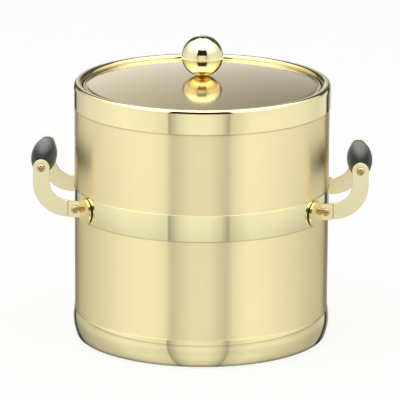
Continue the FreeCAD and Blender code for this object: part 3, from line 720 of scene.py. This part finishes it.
def make_brushed_brass():
    material, tree, shader = new_material("brushed_brass", BRUSHED_BRASS, metallic=1.0)
    lines = placed_group(tree, round_lines, Around=5, Up=0, Outwards=1600)
    marks = placed_group(tree, soft_marks, Size=18)
    colour = varied(tree, lines, BRUSHED_BRASS, low=0.95, high=1.03)
    tree.links.new(colour, shader.inputs["Base Color"])
    roughened(tree, shader, lines, smooth=0.1, rough=0.15, marks=marks, marked=0.02)
    raised(tree, shader, lines, depth=0.000002)
    return material


lid_low, lid_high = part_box("lid_cover")
LID_RADIUS = lid_high.x
crown_z = lid_high.z + dome_drop(KNOB_FLAT)


def on_dome(radius, inwards=0):
    """A point of the dome's top face, or of the face this far inside it."""
    return (radius, crown_z - inwards - dome_drop(radius, DOME_RADIUS - inwards))


bead = (LID_RADIUS - BEAD_RADIUS, on_dome(LID_RADIUS)[1] - LID_SHEET / 2)
groove_edge = bead[0] - BEAD_RADIUS
groove_middle = groove_edge - GROOVE_STEP
groove_radius = groove_edge - GROOVE_WIDTH
groove_out = (groove_edge, on_dome(groove_edge)[1] - GROOVE_DEPTH)
groove_low = (groove_middle, on_dome(groove_middle)[1] - GROOVE_DEPTH)
half_way = (KNOB_FLAT + groove_radius) / 2
under_z = groove_low[1] - LID_SHEET
under_edge = on_dome(groove_radius - LID_SHEET, LID_SHEET)
under_crown = on_dome(KNOB_FLAT, LID_SHEET)
hem_top = lid_low.z + HEM_THICKNESS
dome = eased(turned("lid_dome", [
    (0, lid_high.z),
    (KNOB_FLAT, lid_high.z),
    *arc((KNOB_FLAT, lid_high.z), on_dome(half_way), on_dome(groove_radius), steps=40),
    groove_low,
    groove_out,
    *arc(groove_out, (bead[0], bead[1] + BEAD_RADIUS), (LID_RADIUS, bead[1]), steps=14),
    (LID_RADIUS, lid_low.z),
    (LID_RADIUS - HEM_WIDTH, lid_low.z),
    (LID_RADIUS - HEM_WIDTH, hem_top),
    (LID_RADIUS - LID_SHEET, hem_top),
    (LID_RADIUS - LID_SHEET, under_z),
    (groove_radius, under_z),
    under_edge,
    *arc(under_edge, on_dome(half_way, LID_SHEET), under_crown, steps=16),
    (0, under_crown[1]),
], closed=False))
dressed(dome, make_brushed_brass(), "lid", "brushed_brass", "lid_cover")


# ---- Lid pan -------------------------------------------------------------------------------------
# Shallow stainless pan that closes the lid from below, held by its flange in the cover's hem.

PAN_CORNER = 0.006
PAN_RADIUS = 0.0877

pan_low, pan_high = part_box("lid_pan")
pan_inside = PAN_RADIUS - LID_SHEET
pan_floor_z = pan_low.z + LID_SHEET
pan_corner = (pan_inside - PAN_CORNER, pan_floor_z + PAN_CORNER)
pan = eased(turned("lid_inner_pan", [
    (0, pan_low.z),
    *round_corner(pan_corner, PAN_CORNER + LID_SHEET, -90, 0, steps=10),
    (PAN_RADIUS, pan_high.z - LID_SHEET),
    (pan_high.x, pan_high.z - LID_SHEET),
    (pan_high.x, pan_high.z),
    (pan_inside, pan_high.z),
    *round_corner(pan_corner, PAN_CORNER, 0, -90, steps=10),
    (0, pan_floor_z),
], closed=False))
dressed(pan, liner_steel, "lid", "liner_steel", "lid_pan")


# ---- Knob ----------------------------------------------------------------------------------------
# Solid brass ball, turned and polished to a mirror, with a small flat where it sits on the crown.
# A screw and a washer from inside the lid hold it.

KNOB_SEAT = 0.0042              # radius of that flat
BALL_BRASS = (0.90, 0.81, 0.52, 1)

knob_low, knob_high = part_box("lid_knob")
knob_radius = knob_high.x
knob_z = knob_high.z - knob_radius
knob_seat = (KNOB_SEAT, knob_low.z)
knob_side = (knob_radius, knob_z)
knob = turned("ball_knob", [
    (0, knob_low.z),
    knob_seat,
    *arc(knob_seat, knob_side, (0, knob_high.z), steps=72),
], closed=False, sides=128)
dressed(knob, make_polished_brass("ball_brass", BALL_BRASS), "lid", "polished_brass", "lid_knob")


# ---- Brackets ------------------------------------------------------------------------------------
# Round polished foot with an ear bent square out of its inner edge, and a stud welded on its back.
# Each is bolted through the middle ring with a black rubber pad behind its foot.

FOOT_THICKNESS = 0.0019
EAR_INNER = 0.040
EAR_THICKNESS = 0.0018
EAR_HEIGHT = 0.013
EAR_CORNER = 0.0008
FOOT_BACK = 0.1010              # of the feet, from the bucket's axis
FOOT_OFFSET = 0.0474            # of a foot's middle, from the handle's centre line
STUD_DIAMETER = 0.004
BRACKET_EDGE = 0.0005           # rounding of the bend and the edges
BRACKET_SHINE = 0.12            # least roughness of its polish

PLACES = {
    "right_back": (1, 1),
    "right_front": (1, -1),
    "left_back": (-1, 1),
    "left_front": (-1, -1),
}


def cut_with(piece, tool, operation):
    """Join or cut a piece with a tool, which is then thrown away."""
    modifier = piece.modifiers.new("cut", "BOOLEAN")
    modifier.operation = operation
    modifier.object = tool
    modifier.solver = "EXACT"
    bpy.context.view_layer.objects.active = piece
    bpy.ops.object.modifier_apply(modifier=modifier.name)
    bpy.data.objects.remove(tool)


def mirrored_copy(piece, name, across, along):
    """A copy with its own mesh, mirrored across X = 0 or Y = 0 where the sign is -1."""
    picked(piece)
    bpy.ops.object.duplicate()
    copy = bpy.context.object
    copy.name = name
    copy.scale = (across, along, 1)
    bpy.ops.object.transform_apply(scale=True)
    bpy.ops.object.mode_set(mode="EDIT")
    closed_up()
    return copy


bracket_low, bracket_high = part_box("right_back_bracket")
bracket_z = (bracket_low.z + bracket_high.z) / 2
foot_radius = (bracket_high.z - bracket_low.z) / 2
bracket_turn = math.asin(FOOT_OFFSET / FOOT_BACK)
outward = Vector((math.cos(bracket_turn), math.sin(bracket_turn), 0))
foot_lean = outward.to_track_quat("Z", "X").to_euler()


def disc_on_wall(radius, thickness, middle, vertices):
    """A disc or rod that points straight out from the bucket's axis, at a bracket's place."""
    bpy.ops.object.select_all(action="DESELECT")
    bpy.ops.mesh.primitive_cylinder_add(
        vertices=vertices,
        radius=radius,
        depth=thickness,
        location=outward * middle + Vector((0, 0, bracket_z)),
        rotation=foot_lean,
    )
    bpy.ops.object.transform_apply(location=True, rotation=True)
    return bpy.context.object


def make_ear(root):
    """A flat ear that stands out from this X, with its two outer corners rounded."""
    bpy.ops.object.select_all(action="DESELECT")
    bpy.ops.mesh.primitive_cube_add(
        size=1,
        location=((root + bracket_high.x) / 2, EAR_INNER + EAR_THICKNESS / 2, bracket_z),
        scale=(bracket_high.x - root, EAR_THICKNESS, EAR_HEIGHT),
    )
    ear = bpy.context.object
    bpy.ops.object.transform_apply(location=True, scale=True)
    bpy.ops.object.mode_set(mode="EDIT")
    bpy.ops.mesh.select_all(action="DESELECT")
    bpy.ops.object.mode_set(mode="OBJECT")
    for edge in ear.data.edges:
        ends = [ear.data.vertices[v].co for v in edge.vertices]
        edge.select = all(end.x > root + EAR_THICKNESS for end in ends) and ends[0].z == ends[1].z
    bpy.ops.object.mode_set(mode="EDIT")
    bpy.ops.mesh.bevel(offset=EAR_CORNER, segments=4)
    bpy.ops.object.mode_set(mode="OBJECT")
    return ear


def make_bracket():
    """One bracket: its foot cut straight along the ear's inner face, its ear and its stud."""
    foot_middle = FOOT_BACK + FOOT_THICKNESS / 2
    foot_disc = disc_on_wall(foot_radius, FOOT_THICKNESS, foot_middle, vertices=96)
    bpy.ops.object.mode_set(mode="EDIT")
    bpy.ops.mesh.select_all(action="SELECT")
    bpy.ops.mesh.bisect(
        plane_co=(0, EAR_INNER, 0), plane_no=(0, 1, 0), use_fill=True, clear_inner=True
    )
    bpy.ops.object.mode_set(mode="OBJECT")
    ear = make_ear((FOOT_BACK - outward.y * EAR_INNER) / outward.x)
    stud_length = FOOT_BACK - bracket_low.x / outward.x
    stud = disc_on_wall(STUD_DIAMETER / 2, stud_length, FOOT_BACK - stud_length / 2, vertices=32)
    cut_with(foot_disc, ear, "UNION")
    cut_with(foot_disc, stud, "UNION")
    return eased(foot_disc, width=BRACKET_EDGE, segments=3)


bracket_brass = make_polished_brass("bracket_brass", POLISHED_BRASS, BRACKET_SHINE)
bracket_model = make_bracket()
for place, (across, along) in PLACES.items():
    bracket = mirrored_copy(bracket_model, place + "_bracket_foot_and_ear", across, along)
    dressed(bracket, bracket_brass, "bucket", "polished_brass", place + "_bracket")
    coated(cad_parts[place + "_bracket_pad"], black_rubber)
bpy.data.objects.remove(bracket_model)


# ---- Arms ----------------------------------------------------------------------------------------
# Flat brass-plated strap, stamped out as a hook with a round nose at the pivot and a round upper
# end, then tumbled so that its edges are soft.  Two arms carry each grip.

ARM_BEND = 0.0208               # radius of the bend on the arm's centre line
ARM_NOSE = 0.0036               # radius of the nose
ARM_TAPER = 0.0047              # from the pivot to the arm's full width
ARM_EDGE = 0.0005
PIVOT_X = 0.0975
PIVOT_Z = bracket_z
ARM_BRASS = (0.92, 0.83, 0.52, 1)
EAR_SHADOW_LINE = 0.0006               # dark line painted on each arm just past the end of its ear, as the ear's shadow
EAR_SHADOW_GAP = 0.0003


def make_arm_brass():
    material, tree, shader = new_material("arm_brass", ARM_BRASS, metallic=1.0)
    grain = placed_group(tree, fine_grain, Scale=1400, Detail=3)
    marks = placed_group(tree, soft_marks, Size=60)
    colour = varied(tree, grain, ARM_BRASS, low=0.95, high=1.03)
    x, y, _ = split_up(tree, object_place(tree))
    sideways = math_node(tree, "ABSOLUTE", x)
    outside = math_node(tree, "GREATER_THAN", math_node(tree, "ABSOLUTE", y), EAR_INNER - ARM_EDGE)
    # Painted shadow: a dark line on the arm's outer face where the end of the ear shades it.
    line_x = bracket_high.x + EAR_SHADOW_GAP
    colour = lined(tree, colour, sideways, line_x, EAR_SHADOW_LINE, shaded(ARM_BRASS, 0.3), outside)
    tree.links.new(colour, shader.inputs["Base Color"])
    roughened(tree, shader, grain, smooth=0.24, rough=0.34, marks=marks, marked=0.04)
    raised(tree, shader, grain, depth=0.000008)
    return material


arm_low, arm_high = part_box("right_back_arm")
ARM_THICKNESS = arm_high.y - arm_low.y
half_width = PIVOT_Z - arm_low.z
GRIP_X = arm_high.x - half_width
GRIP_Z = arm_high.z - half_width


def filled():
    """Close a wire and fill it with one face."""
    bpy.ops.mesh.select_all(action="SELECT")
    bpy.ops.mesh.remove_doubles(threshold=MERGE_REACH)
    bpy.ops.mesh.edge_face_add()


def make_arm():
    pivot = (PIVOT_X, PIVOT_Z)
    grip = (GRIP_X, GRIP_Z)
    bend = (GRIP_X - ARM_BEND, PIVOT_Z + ARM_BEND)
    wide = ARM_BEND + half_width
    tight = ARM_BEND - half_width
    lean = math.degrees(math.atan2(half_width, ARM_TAPER))
    spread = math.degrees(math.acos(ARM_NOSE / math.hypot(half_width, ARM_TAPER)))
    nose_high = on_circle(pivot, ARM_NOSE, lean + spread)
    nose_low = on_circle(pivot, ARM_NOSE, -lean - spread)
    points = [
        nose_high,
        *arc(nose_high, on_circle(pivot, ARM_NOSE, 180), nose_low, steps=12),
        (PIVOT_X + ARM_TAPER, PIVOT_Z - half_width),
        *round_corner(bend, wide, -90, 0, steps=28),
        *round_corner(grip, half_width, 0, 180, steps=28),
        *round_corner(bend, tight, 0, -90, steps=20),
        (PIVOT_X + ARM_TAPER, PIVOT_Z + half_width),
        nose_high,
    ]
    arm = outline("arm", [(x, arm_low.y, z) for x, z in points])
    filled()
    bpy.ops.mesh.extrude_region_move(TRANSFORM_OT_translate={"value": (0, ARM_THICKNESS, 0)})
    closed_up()
    return eased(arm, width=ARM_EDGE, segments=4)


arm_brass = make_arm_brass()
arm_model = make_arm()
for place, (across, along) in PLACES.items():
    arm = mirrored_copy(arm_model, place + "_strap", across, along)
    side = place.split("_")[0]
    dressed(arm, arm_brass, side + "_handle", "satin_brass", place + "_arm")
bpy.data.objects.remove(arm_model)


# ---- Grips ---------------------------------------------------------------------------------------
# Black barrel moulded in satin plastic, thickest in the middle, with a steel rod through it that
# the screws at both ends pull tight.

GRIP_END_RADIUS = 0.00575
GRIP_BORE = 0.00305
GRIP_SHOULDER = 0.0006
GRIP_POLISH = 0.000002          # taken off the thickest part when it is smoothed
BLACK_GRIP = (0.010, 0.010, 0.011, 1)
PAINTED_TOP_LIGHT = (0.20, 0.202, 0.206, 1)     # paler grey painted on the top of its thickest part, as light falling from above
TOP_LIGHT_FROM = 0.0068              # height above its middle where that starts
GRIP_SHEEN = 0.06
GRIP_SHEEN_ROUGH = 0.35


def make_black_grip():
    material, tree, shader = new_material("black_grip", BLACK_GRIP)
    grain = placed_group(tree, fine_grain, Scale=2200)
    marks = placed_group(tree, soft_marks, Size=70)
    colour = varied(tree, marks, BLACK_GRIP, high=1.5)
    height = split_up(tree, object_place(tree))[2]
    # Painted highlight: the top of the barrel is paler, where light falls on it.
    lit_top = stepped(tree, height, GRIP_Z + TOP_LIGHT_FROM, grip_high.z)
    tree.links.new(mixed(tree, lit_top, colour, PAINTED_TOP_LIGHT), shader.inputs["Base Color"])
    shader.inputs["Sheen Weight"].default_value = GRIP_SHEEN
    shader.inputs["Sheen Roughness"].default_value = GRIP_SHEEN_ROUGH
    roughened(tree, shader, grain, smooth=0.3, rough=0.4, marks=marks, marked=0.06)
    raised(tree, shader, grain, depth=0.00003)
    return material


def laid_across(piece, x, y, z, along=1):
    """Turn a piece made on the Z axis to point along Y, or along -Y, and set it in place."""
    picked(piece)
    piece.rotation_euler = (-along * math.pi / 2, 0, 0)
    piece.location = (x, y, z)
    bpy.ops.object.transform_apply(location=True, rotation=True)


grip_low, grip_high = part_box("right_grip")
black_grip = make_black_grip()
grip_half = grip_high.y
grip_radius = (grip_high.z - grip_low.z) / 2 - GRIP_POLISH
for side, across in (("right", 1), ("left", -1)):
    start = (GRIP_END_RADIUS, -grip_half + GRIP_SHOULDER)
    finish = (GRIP_END_RADIUS, grip_half - GRIP_SHOULDER)
    grip = turned(side + "_barrel", [
        (GRIP_BORE, -grip_half),
        (GRIP_END_RADIUS - GRIP_SHOULDER, -grip_half),
        start,
        *arc(start, (grip_radius, 0), finish, steps=48),
        (GRIP_END_RADIUS - GRIP_SHOULDER, grip_half),
        (GRIP_BORE, grip_half),
    ], sides=96)
    laid_across(eased(grip), across * GRIP_X, 0, GRIP_Z)
    dressed(grip, black_grip, side + "_handle", "black_grip", side + "_grip")


# ---- Screws --------------------------------------------------------------------------------------
# Cross-head screws with polished domed heads.  Four are the handles' pivots, through the ears and
# arms into nuts, and four hold the grips.

HEAD_EDGE = 0.45                # upright edge of a head, as a share of its height
SHOULDER_RADIUS = 0.36          # a point half-way over the dome, as shares of the head
SHOULDER_HEIGHT = 0.84
HEAD_SOFTENED = 0.0001
RECESS_SPAN = 0.6               # length and width of the cross, as shares of the head
RECESS_WIDTH = 0.15
RECESS_DEPTH = 0.6
RECESS_TOP = 1.05               # where its cutter starts, clear of the head
RECESS_TAPER = 0.45
PIVOT_HEAD = 0.0062
PIVOT_HEAD_HEIGHT = 0.0023
PIVOT_SHANK = 0.003
PIVOT_LENGTH = 0.00715
GRIP_HEAD = 0.0064
GRIP_HEAD_HEIGHT = 0.0024
GRIP_SHANK = 0.0035
GRIP_LENGTH = 0.013
SCREW_BRASS = (0.58, 0.47, 0.24, 1)
SCREW_SHINE = 0.1


def cross_tool(span, width, depth, top):
    """A tapered cross that cuts a recess, from above the head down into it."""
    half, arm_half = span / 2, width / 2
    corners = []
    for turn in range(4):
        for x, y in ((half, -arm_half), (half, arm_half), (arm_half, arm_half)):
            for _ in range(turn):
                x, y = -y, x
            corners.append((x, y, top))
    corners.append(corners[0])
    tool = outline("cross", corners)
    filled()
    bpy.ops.mesh.extrude_region_move(TRANSFORM_OT_translate={"value": (0, 0, -depth)})
    bpy.ops.transform.resize(value=(RECESS_TAPER, RECESS_TAPER, 1), center_override=(0, 0, 0))
    closed_up()
    return tool


def make_screw(name, diameter, height, shank, length):
    """A domed screw with its head on Z = 0 and its shank below."""
    radius = diameter / 2
    edge = height * HEAD_EDGE
    shoulder = (diameter * SHOULDER_RADIUS, height * SHOULDER_HEIGHT)
    screw = turned(name, [
        (0, -length),
        (shank / 2, -length),
        (shank / 2, 0),
        (radius, 0),
        (radius, edge),
        *arc((radius, edge), shoulder, (0, height), steps=16),
    ], closed=False, sides=64)
    eased(screw, width=HEAD_SOFTENED)
    depth = height * RECESS_DEPTH
    top = height * RECESS_TOP
    tool = cross_tool(diameter * RECESS_SPAN, diameter * RECESS_WIDTH, depth + top - height, top)
    cut_with(screw, tool, "DIFFERENCE")
    return screw


screw_brass = make_polished_brass("screw_brass", SCREW_BRASS, SCREW_SHINE)
for place, (across, along) in PLACES.items():
    screw = make_screw(
        place + "_pivot_screw", PIVOT_HEAD, PIVOT_HEAD_HEIGHT, PIVOT_SHANK, PIVOT_LENGTH
    )
    laid_across(screw, across * PIVOT_X, along * (EAR_INNER + EAR_THICKNESS), PIVOT_Z, along)
    dressed(screw, screw_brass, "bucket", "polished_brass", "pivot_screws")
    side = place.split("_")[0]
    screw = make_screw(place + "_grip_screw", GRIP_HEAD, GRIP_HEAD_HEIGHT, GRIP_SHANK, GRIP_LENGTH)
    laid_across(screw, across * GRIP_X, along * arm_high.y, GRIP_Z, along)
    dressed(screw, screw_brass, side + "_handle", "polished_brass", side + "_grip_screws")


# ---- Hardware ------------------------------------------------------------------------------------
# Plain zinc-plated steel that is mostly out of sight: the base plate, nuts, washers, the knob's
# screw and the rods through the grips.

for node in (
    "base_plate", "knob_washer", "knob_screw", "bracket_washers", "bracket_nuts",
    "pivot_washers", "pivot_nuts", "right_grip_rod", "left_grip_rod",
):
    coated(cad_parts[node], hardware_steel)


# ---- Studio --------------------------------------------------------------------------------------
# A pale table in a white room.  Polished metal shows the room: a bright ceiling panel, pale walls
# that darken towards the back, and a dark opening in front where the camera stands.

TABLE_SIZE = 30.0
TABLE_WHITE = (0.97, 0.97, 0.97, 1)
TABLE_SHADOW = 0.2              # share of the table's own shading that is seen
# What polished metal sees of the table, by distance from the bucket's axis in metres.
TABLE_SHADES = (
    (0.0985, 0.1), (0.1, 0.6), (0.11, 0.68), (0.118, 0.75), (0.136, 0.93), (0.155, 1.02),
    (0.2, 1.0), (0.3, 0.72), (0.4, 0.78), (0.5, 0.98), (0.62, 1.14), (0.78, 1.05),
)
SIDE_SHADE = 0.2                # how much darker the table is to the left and right of the bucket
SIDE_SPREAD = 6                 # how narrow those two darker parts are
SIDE_REACH = 0.45               # how far out they go, in metres
SIDE_REACH_SOFT = 0.15
ROOM_LEVEL = 0.8                # soft light from all round
LAMP_LEVEL = 13.0               # watts
LAMP_SIZE = 1.6
LAMP_PLACE = Vector((-0.3, -0.4, 2.2))
GLOSSY_BOUNCES = 12             # enough between the knob and the lid, and round the rim

# From here on, places in the room are in degrees, and each SOFT is half the width of an edge.
# Brightness of the walls by azimuth, from the front with the left negative.
WALLS = (
    (-180, 1.0), (-167, 0.95), (-161, 0.6), (-159, 0.06), (-152, 0.08), (-150, 0.42), (-146, 0.56),
    (-133, 0.66), (-121, 0.80), (-104, 0.87), (-72, 1.0), (-46, 0.94), (-29.3, 0.80), (-28.1, 0.37),
    (-26.4, 0.50), (-18, 0.79), (-8, 0.94), (8, 0.94), (18, 0.78), (25.8, 0.41), (26.9, 0.71),
    (46, 0.96), (70, 0.96), (100, 0.875), (126, 0.75), (145, 0.82), (147.5, 0.68), (149.5, 0.06),
    (156, 0.06), (159, 0.33), (165, 0.55), (170, 0.95),
)
# How much brighter the walls are higher up and the table darker nearer, by elevation.
WALL_RISE = (
    (-85, 0.25), (-66, 0.8), (-46, 1.0), (-36, 1.12), (-26, 1.07), (-20, 1.0), (10, 1.0),
    (18, 1.1), (24, 1.28), (30, 1.55), (36, 1.85), (42, 2.2), (50, 2.4),
)
# The strip straight behind the bucket, that the lid shows, by elevation.
BACK_STRIP = (
    (-5, 0.83), (2, 0.73), (12, 0.61), (19, 0.53), (26, 0.46), (34, 0.41), (37, 0.05), (55, 0.05),
    (59, 2.4),
)
BACK_STRIP_AZIMUTH = 170
BACK_STRIP_SOFT = 1.5
BACK_TILT = 3.0                 # how much brighter the strip is on its left
CEILING_LEVEL = 2.4
CEILING_START = 49
CEILING_SOFT = 5
FRONT_GLOW = 0.3                # how much brighter the table is in front of the bucket
FRONT_GLOW_SIDE = 70
FRONT_GLOW_SIDE_SOFT = 25
FRONT_GLOW_TOP = -32
FRONT_GLOW_TOP_SOFT = 14
DOOR_LEVEL = 0.02               # dark opening around the camera
DOOR_HALF_WIDTH = 29
DOOR_LOW = 12.5
DOOR_HIGH = 44
CLOTH_LEVEL = 0.09              # dark cloth behind the bucket, on both sides of the strip
CLOTH_RIGHT = 131
CLOTH_LEFT = -141
CLOTH_SIDE_SOFT = 3
CLOTH_LOW = 3
CLOTH_TOP = 55                  # its top edge, straight behind the bucket
CLOTH_TOP_SLOPE = 0.23          # how fast that edge falls away to the sides
CLOTH_SOFT = 2


def sampled(tree, value, low, high, stops):
    """Brightness by a value between low and high, straight from stop to stop."""
    ramp = tree.nodes.new("ShaderNodeValToRGB")
    elements = ramp.color_ramp.elements
    while len(elements) < len(stops):
        elements.new(0.5)
    scale = max(brightness for _, brightness in stops)
    for element, (place, brightness) in zip(elements, stops):
        element.position = (place - low) / (high - low)
        element.color = (brightness / scale,) * 3 + (1,)
    share = math_node(tree, "DIVIDE", math_node(tree, "SUBTRACT", value, low), high - low)
    tree.links.new(share, ramp.inputs[0])
    return math_node(tree, "MULTIPLY", ramp.outputs["Color"], scale)


def above(tree, value, edge, soft=1.0):
    """1 where a value is above an edge, 0 below it, and smooth between."""
    return stepped(tree, value, edge - soft, edge + soft)


def below(tree, value, edge, soft=1.0):
    """1 where a value is below an edge, 0 above it, and smooth between."""
    return stepped(tree, value, edge + soft, edge - soft)


def both(tree, *shares):
    """The product of some shares."""
    product = shares[0]
    for share in shares[1:]:
        product = math_node(tree, "MULTIPLY", product, share)
    return product


def dimmed(tree, amount):
    """What is left of 1 after an amount is taken off."""
    return math_node(tree, "SUBTRACT", 1.0, amount)


def make_room():
    """White to the eye, plain for soft light, and a room with walls for what metal mirrors."""
    world = bpy.data.worlds.new("room")
    world.use_nodes = True
    tree = world.node_tree
    direction = tree.nodes.new("ShaderNodeTexCoord").outputs["Generated"]
    x, _, z = split_up(tree, direction)
    degree = math.degrees(1)
    azimuth = math_node(tree, "MULTIPLY", round_axis(tree, direction), degree)
    off_front = math_node(tree, "ABSOLUTE", azimuth)
    elevation = math_node(tree, "MULTIPLY", math_node(tree, "ARCSINE", z), degree)
    front = both(
        tree,
        below(tree, off_front, FRONT_GLOW_SIDE, FRONT_GLOW_SIDE_SOFT),
        below(tree, elevation, FRONT_GLOW_TOP, FRONT_GLOW_TOP_SOFT),
    )
    room = both(
        tree,
        sampled(tree, azimuth, -180, 180, WALLS),
        sampled(tree, elevation, -90, 90, WALL_RISE),
        math_node(tree, "ADD", 1.0, math_node(tree, "MULTIPLY", front, FRONT_GLOW)),
    )
    ceiling = above(tree, elevation, CEILING_START, CEILING_SOFT)
    room = mixed(tree, ceiling, room, CEILING_LEVEL, "FLOAT")
    door = both(
        tree,
        below(tree, off_front, DOOR_HALF_WIDTH),
        above(tree, elevation, DOOR_LOW),
        below(tree, elevation, DOOR_HIGH),
    )
    room = mixed(tree, door, room, DOOR_LEVEL, "FLOAT")
    from_back = math_node(tree, "SUBTRACT", 180.0, off_front)
    fallen = math_node(tree, "MULTIPLY", from_back, CLOTH_TOP_SLOPE)
    cloth = both(
        tree,
        math_node(
            tree, "MAXIMUM",
            above(tree, azimuth, CLOTH_RIGHT, CLOTH_SIDE_SOFT),
            below(tree, azimuth, CLOTH_LEFT, CLOTH_SIDE_SOFT),
        ),
        below(tree, math_node(tree, "ADD", elevation, fallen), CLOTH_TOP, CLOTH_SOFT),
        above(tree, elevation, CLOTH_LOW, CLOTH_SOFT),
    )
    room = mixed(tree, cloth, room, CLOTH_LEVEL, "FLOAT")
    tilt = dimmed(tree, math_node(tree, "MULTIPLY", x, BACK_TILT))
    strip = both(tree, sampled(tree, elevation, -90, 90, BACK_STRIP), tilt)
    behind = above(tree, off_front, BACK_STRIP_AZIMUTH, BACK_STRIP_SOFT)
    room = mixed(tree, behind, room, strip, "FLOAT")
    path = tree.nodes.new("ShaderNodeLightPath").outputs
    seen_plain = math_node(tree, "MAXIMUM", path["Is Camera Ray"], path["Is Transmission Ray"])
    plain = mixed(tree, seen_plain, ROOM_LEVEL, 1.0, "FLOAT")
    seen = mixed(tree, path["Is Glossy Ray"], plain, room, "FLOAT")
    tree.links.new(seen, tree.nodes["Background"].inputs["Color"])
    bpy.context.scene.world = world


def shader_over(tree, share, base, over):
    """One shader over another, by a share from 0 to 1."""
    node = tree.nodes.new("ShaderNodeMixShader")
    for place, socket in enumerate((share, base, over)):
        tree.links.new(socket, node.inputs[place])
    return node.outputs[0]


def make_table():
    """White to the eye but for a soft shadow, and tinted clear for what metal mirrors."""
    bpy.ops.object.select_all(action="DESELECT")
    bpy.ops.mesh.primitive_plane_add(size=TABLE_SIZE, location=(0, 0, 0))
    table = bpy.context.object
    table.name = "table"
    material = bpy.data.materials.new("table_white")
    material.use_nodes = True
    tree = material.node_tree
    tree.nodes.clear()
    path = tree.nodes.new("ShaderNodeLightPath").outputs
    lit = tree.nodes.new("ShaderNodeBsdfDiffuse")
    lit.inputs["Color"].default_value = TABLE_WHITE
    glow = tree.nodes.new("ShaderNodeEmission")
    washed = math_node(tree, "MULTIPLY", path["Is Camera Ray"], 1 - TABLE_SHADOW)
    eye = shader_over(tree, washed, lit.outputs[0], glow.outputs[0])
    place = object_place(tree)
    distance = off_axis(tree, place)
    sideways = math_node(tree, "DIVIDE", split_up(tree, place)[0], distance)
    side = math_node(tree, "POWER", math_node(tree, "ABSOLUTE", sideways), SIDE_SPREAD)
    near = below(tree, distance, SIDE_REACH, SIDE_REACH_SOFT)
    side_shade = math_node(tree, "MULTIPLY", both(tree, side, near), SIDE_SHADE)
    shade = both(tree, sampled(tree, distance, 0, 1, TABLE_SHADES), dimmed(tree, side_shade))
    clear = tree.nodes.new("ShaderNodeBsdfTransparent")
    tree.links.new(shade, clear.inputs["Color"])
    out = tree.nodes.new("ShaderNodeOutputMaterial")
    mirrored = path["Is Glossy Ray"]
    tree.links.new(shader_over(tree, mirrored, eye, clear.outputs[0]), out.inputs["Surface"])
    coated(table, material)


def make_lamp():
    """A broad lamp above the camera's left shoulder, aimed at the foot of the bucket."""
    lamp_data = bpy.data.lights.new("ceiling_lamp", "AREA")
    lamp_data.shape = "SQUARE"
    lamp_data.size = LAMP_SIZE
    lamp_data.energy = LAMP_LEVEL
    lamp = bpy.data.objects.new("ceiling_lamp", lamp_data)
    lamp.location = LAMP_PLACE
    lamp.rotation_euler = LAMP_PLACE.to_track_quat("Z", "Y").to_euler()
    lamp.visible_glossy = False
    bpy.context.scene.collection.objects.link(lamp)


make_room()
make_table()
make_lamp()
bpy.context.scene.view_settings.view_transform = "Standard"
bpy.context.scene.cycles.glossy_bounces = GLOSSY_BOUNCES
